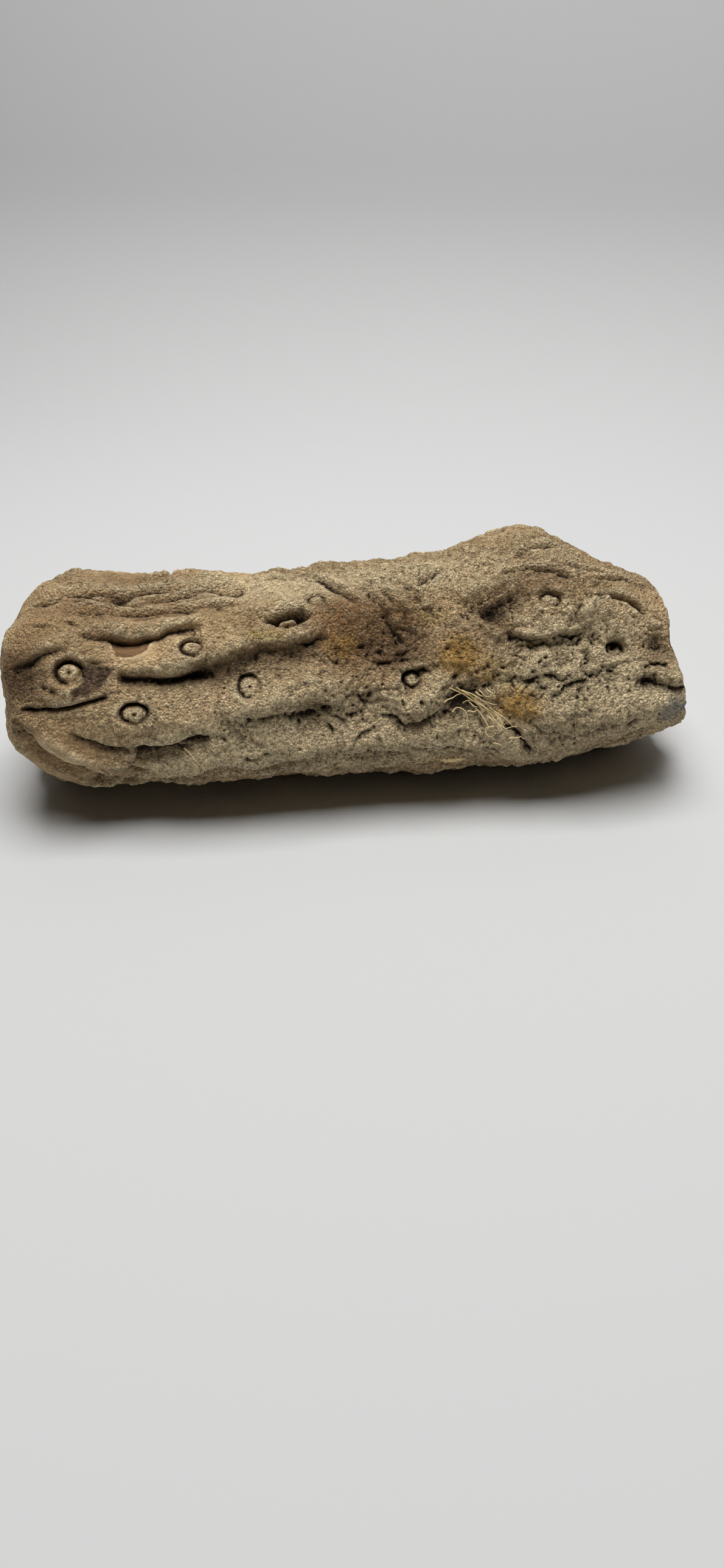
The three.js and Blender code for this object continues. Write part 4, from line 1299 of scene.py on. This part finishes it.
# ------------------------------------------------------------------ the pieces
@dataclass
class StoneCast:
    """The cast itself, as one closed mesh."""

    form: RootForm
    finish: SandstoneFinish
    columns: int = 96
    cuts: tuple[int, int] = (11, 11)  # of the lengthwise edges, one round after the other
    levels: int = 2  # how often all its faces are then split in four
    front: float = 37.0  # around, where the mesh is finest
    gather: float = 0.4  # how strongly its columns gather there
    most_triangles: int = 198_000
    hollow_rounds: tuple[tuple[int, float], ...] = ((4, 1.3), (30, 0.8))  # of easing, with weights
    dirt_and_shade_from: float = 0.18  # hollows deeper than this darken, with dirt and painted shade
    most_dirt_and_shade: float = 0.7
    wear_and_light_from: float = 0.08  # crests higher than this lighten, with wear and painted highlight
    most_wear_and_light: float = 0.9

    def can(self) -> bpy.types.Object:
        """Makes a closed can along X with a regular mesh.

        Returns:
            The can, one unit in radius and half length.
        """
        bpy.ops.object.select_all(action="DESELECT")
        bpy.ops.mesh.primitive_cylinder_add(
            vertices=self.columns, radius=1, depth=2, end_fill_type="NOTHING",
            rotation=(0, math.pi / 2, 0),
        )
        can = bpy.context.object
        bpy.ops.object.transform_apply(location=True, rotation=True, scale=True)
        bpy.ops.object.mode_set(mode="EDIT")
        bpy.ops.mesh.select_mode(type="EDGE")
        for cuts in self.cuts:
            self.select_edges(can)
            bpy.ops.mesh.subdivide(number_cuts=cuts)
        for end in (-1, 1):
            self.select_edges(can, end)
            bpy.ops.mesh.fill_grid(span=self.columns // 4)
        bpy.ops.mesh.select_all(action="SELECT")
        bpy.ops.mesh.normals_make_consistent(inside=False)
        bpy.ops.object.mode_set(mode="OBJECT")
        finer = can.modifiers.new("finer", "SUBSURF")
        finer.subdivision_type = "SIMPLE"
        finer.levels = finer.render_levels = self.levels
        bpy.ops.object.modifier_apply(modifier=finer.name)
        return can

    @staticmethod
    def select_edges(can: bpy.types.Object, end: int = 0, slack: float = 1e-3) -> None:
        """Selects the edges that run along the can, or those round one end.

        Args:
            can: The can, in edit mode.
            end: -1 for the left end, 1 for the right end, 0 for the edges along it.
            slack: How far a vertex may be off its ring.
        """
        bpy.ops.mesh.select_all(action="DESELECT")
        mesh = bmesh.from_edit_mesh(can.data)
        for edge in mesh.edges:
            one, two = (vertex.co.x for vertex in edge.verts)
            at_end = one * end > 1 - slack and two * end > 1 - slack
            edge.select_set(at_end if end else abs(one - two) > slack)
        bmesh.update_edit_mesh(can.data)

    def build(self) -> bpy.types.Object:
        """Shapes the can into the cast.

        Returns:
            The finished piece.
        """
        stone = self.can()
        stone.name = stone.data.name = "stone_cast"
        x, y, z = mesh_rows(stone.data.vertices, "co").astype(float).T
        rho = np.hypot(y, z)
        size = np.maximum(np.abs(x), rho)
        turn = np.arctan2(z, -y)
        angle = turn - self.gather * np.sin(turn - math.radians(self.front))
        points, marks = self.form.surface(x / size, rho / size, angle)
        stone.data.vertices.foreach_set("co", (points * MM).astype(np.float32).ravel())
        hollow = self.hollows(stone.data, points)
        # hollows are darkened and crests lightened: painted shade and painted highlight, along with
        # dirt and wear
        marks[Mark.DIRT_AND_SHADE] += np.clip(hollow - self.dirt_and_shade_from, 0, self.most_dirt_and_shade)
        marks[Mark.WEAR_AND_LIGHT] += np.clip(-hollow - self.wear_and_light_from, 0, self.most_wear_and_light)
        for mark, values in marks.items():
            layer = stone.data.attributes.new(mark.value, "FLOAT", "POINT")
            layer.data.foreach_set("value", np.clip(values, 0, 1).astype(np.float32))
        stone.data.update()
        select_only(stone)
        self.fit_box(stone)
        thin = stone.modifiers.new("thin", "DECIMATE")
        triangles = sum(len(p.vertices) - 2 for p in stone.data.polygons)
        thin.ratio = min(1.0, self.most_triangles / triangles)
        bpy.ops.object.modifier_apply(modifier=thin.name)
        self.fit_box(stone)
        bpy.ops.object.shade_smooth()
        stone.data.materials.append(self.finish.material())
        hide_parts("fossil_root")
        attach(stone, "root")
        return stone

    def hollows(self, mesh: bpy.types.Mesh, points: Array) -> Array:
        """How hollow the surface is at each point, near by and in the round.

        Args:
            mesh: The mesh, for its edges and its normals.
            points: Its vertices in millimetres.

        Returns:
            Above zero in a hollow and below it on a crest.
        """
        ends = np.zeros(len(mesh.edges) * 2, np.int32)
        mesh.edges.foreach_get("vertices", ends)
        one, two = ends.reshape(-1, 2).T
        count = len(points)
        links = np.bincount(one, minlength=count) + np.bincount(two, minlength=count)
        mesh.update()
        normals = mesh_rows(mesh.vertex_normals, "vector")
        eased = points.copy()
        total = np.zeros(count)
        done = 0
        for rounds, weight in self.hollow_rounds:
            for _ in range(rounds - done):
                columns = [
                    np.bincount(one, part[two], count) + np.bincount(two, part[one], count)
                    for part in eased.T
                ]
                eased = np.stack(columns, axis=1) / links[:, None]
            total += weight * ((eased - points) * normals).sum(axis=1)
            done = rounds
        return total

    @staticmethod
    def fit_box(stone: bpy.types.Object) -> None:
        """Draws the piece in where it reaches past the frame's box.

        Args:
            stone: The piece.
        """
        low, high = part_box("fossil_root")
        points = mesh_rows(stone.data.vertices, "co")
        for axis in range(3):
            for limit, reach in ((low, points[:, axis].min()), (high, points[:, axis].max())):
                if abs(reach) > abs(limit[axis]) > 0:
                    shrink = abs(limit[axis] / reach)
                    points[points[:, axis] * np.sign(reach) > 0, axis] *= shrink
                    LOG.info("axis %d drawn in by %.2f %%", axis, 100 * (1 - shrink))
        points[:, 2] = np.maximum(points[:, 2], low[2])
        stone.data.vertices.foreach_set("co", points.ravel())
        stone.data.update()


@dataclass
class FibreMat:
    """A mat or tuft of dry strands that lie on the stone."""

    name: str
    form: RootForm
    finish: DryFibreFinish
    strands: Sequence[Path]  # places along and around, one path for each laid strand
    loose: int = 0  # how many short strands lie about them
    middle: Place = (0, 0)
    spread: Place = (0, 0)  # reach of the short strands in mm along and degrees around
    thick: float = 0.2  # radius
    length: float = 5.0
    lift: float = 0.9
    arches: tuple[float, float] = (0.3, 1.0)  # lowest and highest, over lift
    least_lift: float = 0.05
    seed: int = 3
    ways: tuple[float, float] = (-1.5, 0.1)  # in radians, from almost straight down to level
    sizes: tuple[float, float] = (0.4, 1.2)  # shortest and longest, over length
    curl: float = 0.8  # how much a short strand bends, in radians
    degrees: float = 1.8  # around, to a millimetre of skin
    waver: float = 0.15  # how much its height wanders
    narrowing: float = 0.55  # how much thinner a strand gets towards its tip

    def build(self, node: str | None) -> bpy.types.Object:
        """Lays the strands.

        Args:
            node: The frame's node that the piece stands for, if any.

        Returns:
            The finished piece.
        """
        draw = np.random.default_rng(self.seed)
        curve = bpy.data.curves.new(self.name, "CURVE")
        curve.dimensions = "3D"
        curve.bevel_depth = self.thick * MM
        curve.bevel_resolution = 1
        curve.use_fill_caps = True
        paths = [smooth_path(path, leg=1.2) * IN_DEGREES for path in self.strands]
        paths += [self.short_path(draw) for _ in range(self.loose)]
        for path in paths:
            self.strand(curve, path, draw)
        mat = bpy.data.objects.new(self.name, curve)
        bpy.context.scene.collection.objects.link(mat)
        select_only(mat)
        bpy.ops.object.convert(target="MESH")
        mat = bpy.context.object
        mat.name = mat.data.name = self.name
        bpy.ops.object.shade_smooth()
        mat.data.materials.clear()
        mat.data.materials.append(self.finish.material())
        if node:
            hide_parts(node)
        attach(mat, "root")
        return mat

    def short_path(self, draw: np.random.Generator) -> Array:
        """Draws the path of a short strand.

        Args:
            draw: The mat's random numbers.

        Returns:
            Places along and around, one in a row.
        """
        start = np.array(self.middle) + draw.normal(size=2) * self.spread
        way = draw.uniform(*self.ways)
        size = self.length * draw.uniform(*self.sizes)
        t = np.linspace(-0.5, 0.5, 9)
        bend = way + draw.normal() * self.curl * t
        run = np.stack((size * t * np.cos(bend), self.degrees * size * t * np.sin(bend)), axis=1)
        return start + run

    def strand(self, curve: bpy.types.Curve, path: Array, draw: np.random.Generator) -> None:
        """Adds one strand that arches a little above the stone.

        Args:
            curve: The curve that takes it.
            path: Places along and around, one in a row.
            draw: The mat's random numbers.
        """
        count = len(path)
        t = np.linspace(0, 1, count)
        arch = self.lift * draw.uniform(*self.arches) * np.sin(math.pi * t)
        lifts = self.thick + arch + self.waver * draw.normal(size=count).cumsum() / count
        spline = curve.splines.new("POLY")
        spline.points.add(count - 1)
        room = np.array(CAD_BOX) + np.array([[1], [-1]]) * self.thick * MM
        places = self.form.place(path, np.clip(lifts, self.least_lift, None))
        for point, place, part in zip(spline.points, np.clip(places, *room), t):
            point.co = (*place, 1)
            point.radius = 1 - self.narrowing * part


@dataclass
class Studio:
    """The pale sweep, the soft light overhead and the camera."""

    paper: PaperFinish
    sweep_size: Place = (2600, 1700)
    sweep_front: float = -600  # Y of its front edge
    sweep_turn: float = -19.0
    bend_from: float = 330  # Y where the floor begins to curve up
    bend_radius: float = 110
    panel: float = 640
    panel_at: tuple[float, float, float] = (0, -10, 900)
    panel_watts: float = 9.4
    panel_tint: tuple[float, float, float] = (1.0, 0.995, 0.975)
    fill: str = "#ebe6dc"
    fill_strength: float = 0.04
    eye: tuple[float, float, float] = (-35.834, -291.84, 182.817)
    heading: float = 7.515
    tilt: float = 33.29
    lens: float = 25.99
    sensor: float = 36

    def sweep(self) -> bpy.types.Object:
        """Makes the floor, curved up into the wall behind.

        Returns:
            The sweep.
        """
        width, length = self.sweep_size
        bpy.ops.object.select_all(action="DESELECT")
        bpy.ops.mesh.primitive_grid_add(x_subdivisions=8, y_subdivisions=96, size=1)
        sweep = bpy.context.object
        sweep.name = sweep.data.name = "backdrop_sweep"
        for vertex in sweep.data.vertices:
            run = (vertex.co.y + 0.5) * length + self.sweep_front
            vertex.co = Vector((vertex.co.x * width, *self.profile(run))) * MM
        sweep.data.transform(Matrix.Rotation(math.radians(self.sweep_turn), 4, "Z"))
        bpy.ops.object.shade_smooth()
        sweep.data.materials.append(self.paper.material())
        return sweep

    def profile(self, run: float) -> tuple[float, float]:
        """Follows the paper back and up.

        Args:
            run: Millimetres along the paper.

        Returns:
            Its Y and its height there.
        """
        if run <= self.bend_from:
            return run, 0.0
        turn = min((run - self.bend_from) / self.bend_radius, math.pi / 2)
        rest = run - self.bend_from - turn * self.bend_radius
        back = self.bend_from + self.bend_radius * math.sin(turn)
        return back, self.bend_radius * (1 - math.cos(turn)) + rest

    def lights(self) -> None:
        """Hangs a soft panel overhead and adds a faint fill from all round."""
        panel = bpy.data.lights.new("panel", "AREA")
        panel.shape = "RECTANGLE"
        panel.size = panel.size_y = self.panel * MM
        panel.energy = self.panel_watts
        panel.color = self.panel_tint
        holder = bpy.data.objects.new("panel", panel)
        holder.location = [part * MM for part in self.panel_at]
        bpy.context.scene.collection.objects.link(holder)
        world = bpy.data.worlds.new("studio")
        world.use_nodes = True
        background = world.node_tree.nodes["Background"]
        background.inputs["Color"].default_value = linear(self.fill)
        background.inputs["Strength"].default_value = self.fill_strength
        bpy.context.scene.world = world

    def camera(self) -> None:
        """Sets up the camera, which looks a little down and to the right."""
        heading, tilt = math.radians(self.heading), math.radians(self.tilt)
        east, north = math.sin(heading), math.cos(heading)
        ahead = Vector((east * math.cos(tilt), north * math.cos(tilt), -math.sin(tilt)))
        right = Vector((north, -east, 0))
        data = bpy.data.cameras.new("camera")
        data.lens = self.lens
        data.sensor_width = self.sensor
        data.clip_start = 0.01
        camera = bpy.data.objects.new("camera", data)
        axes = Matrix((right, right.cross(ahead), -ahead)).transposed()
        camera.matrix_world = Matrix.Translation(Vector(self.eye) * MM) @ axes.to_4x4()
        bpy.context.scene.collection.objects.link(camera)
        bpy.context.scene.camera = camera


ROOTLETS = (
    ((20.5, 16), (23, 13), (26, 8), (29, 3)),
    ((22.5, 15.5), (25, 11), (28, 6), (31, 2), (33, -2)),
    ((23, 14), (26, 10), (29, 4), (30, 0)),
    ((18.5, 10), (21, 11), (25, 11)),
    ((24, 13), (28, 9), (31, 3), (33, -4)),
    ((27, 9), (30, 2), (32, -3), (34, -6)),
    ((30, 4), (33, 1), (35, -3)),
    ((29, 1), (33, -3), (36, -3)),
)
MOSS_AT = (21, -21)
# the tuft's stems point all round from its middle, at these angles in radians
MOSS = tuple(
    (MOSS_AT, (MOSS_AT[0] + 2.6 * math.cos(way), MOSS_AT[1] + 4.2 * math.sin(way)))
    for way in (0.2, 0.9, 1.5, 2.2, 2.9, 3.6, 4.3, 5.0, 5.7)
)
STRAYS = (
    ((-48, -6), (-46, -8), (-44, -12)),
    ((12, -22), (14, -20), (15, -18)),
)


def main() -> None:
    """Builds the pieces in order and reports them."""
    logging.basicConfig(level=logging.INFO, format="%(message)s")
    bpy.context.scene.view_settings.view_transform = "Standard"
    form = RootForm()
    straw = DryFibreFinish()
    studio = Studio(PaperFinish())
    studio.camera()
    studio.sweep()
    studio.lights()
    rootlets = FibreMat(
        "rootlet_mat", form, straw, ROOTLETS, loose=14, middle=(29, 4), spread=(3.4, 4.5)
    )
    moss = FibreMat(
        "moss_tuft", form, straw, MOSS, loose=10, middle=MOSS_AT, spread=(1.2, 1.6),
        thick=0.17, length=3.6, seed=5,
    )
    strays = FibreMat("stray_fibres", form, straw, STRAYS, thick=0.14, seed=8)
    pieces = [
        StoneCast(form, SandstoneFinish()).build(),
        rootlets.build("dried_rootlets"),
        moss.build("dried_moss_tuft"),
        strays.build(None),
    ]
    for piece in pieces:
        LOG.info("%s: %d faces", piece.name, len(piece.data.polygons))


if __name__ == "__main__":
    main()
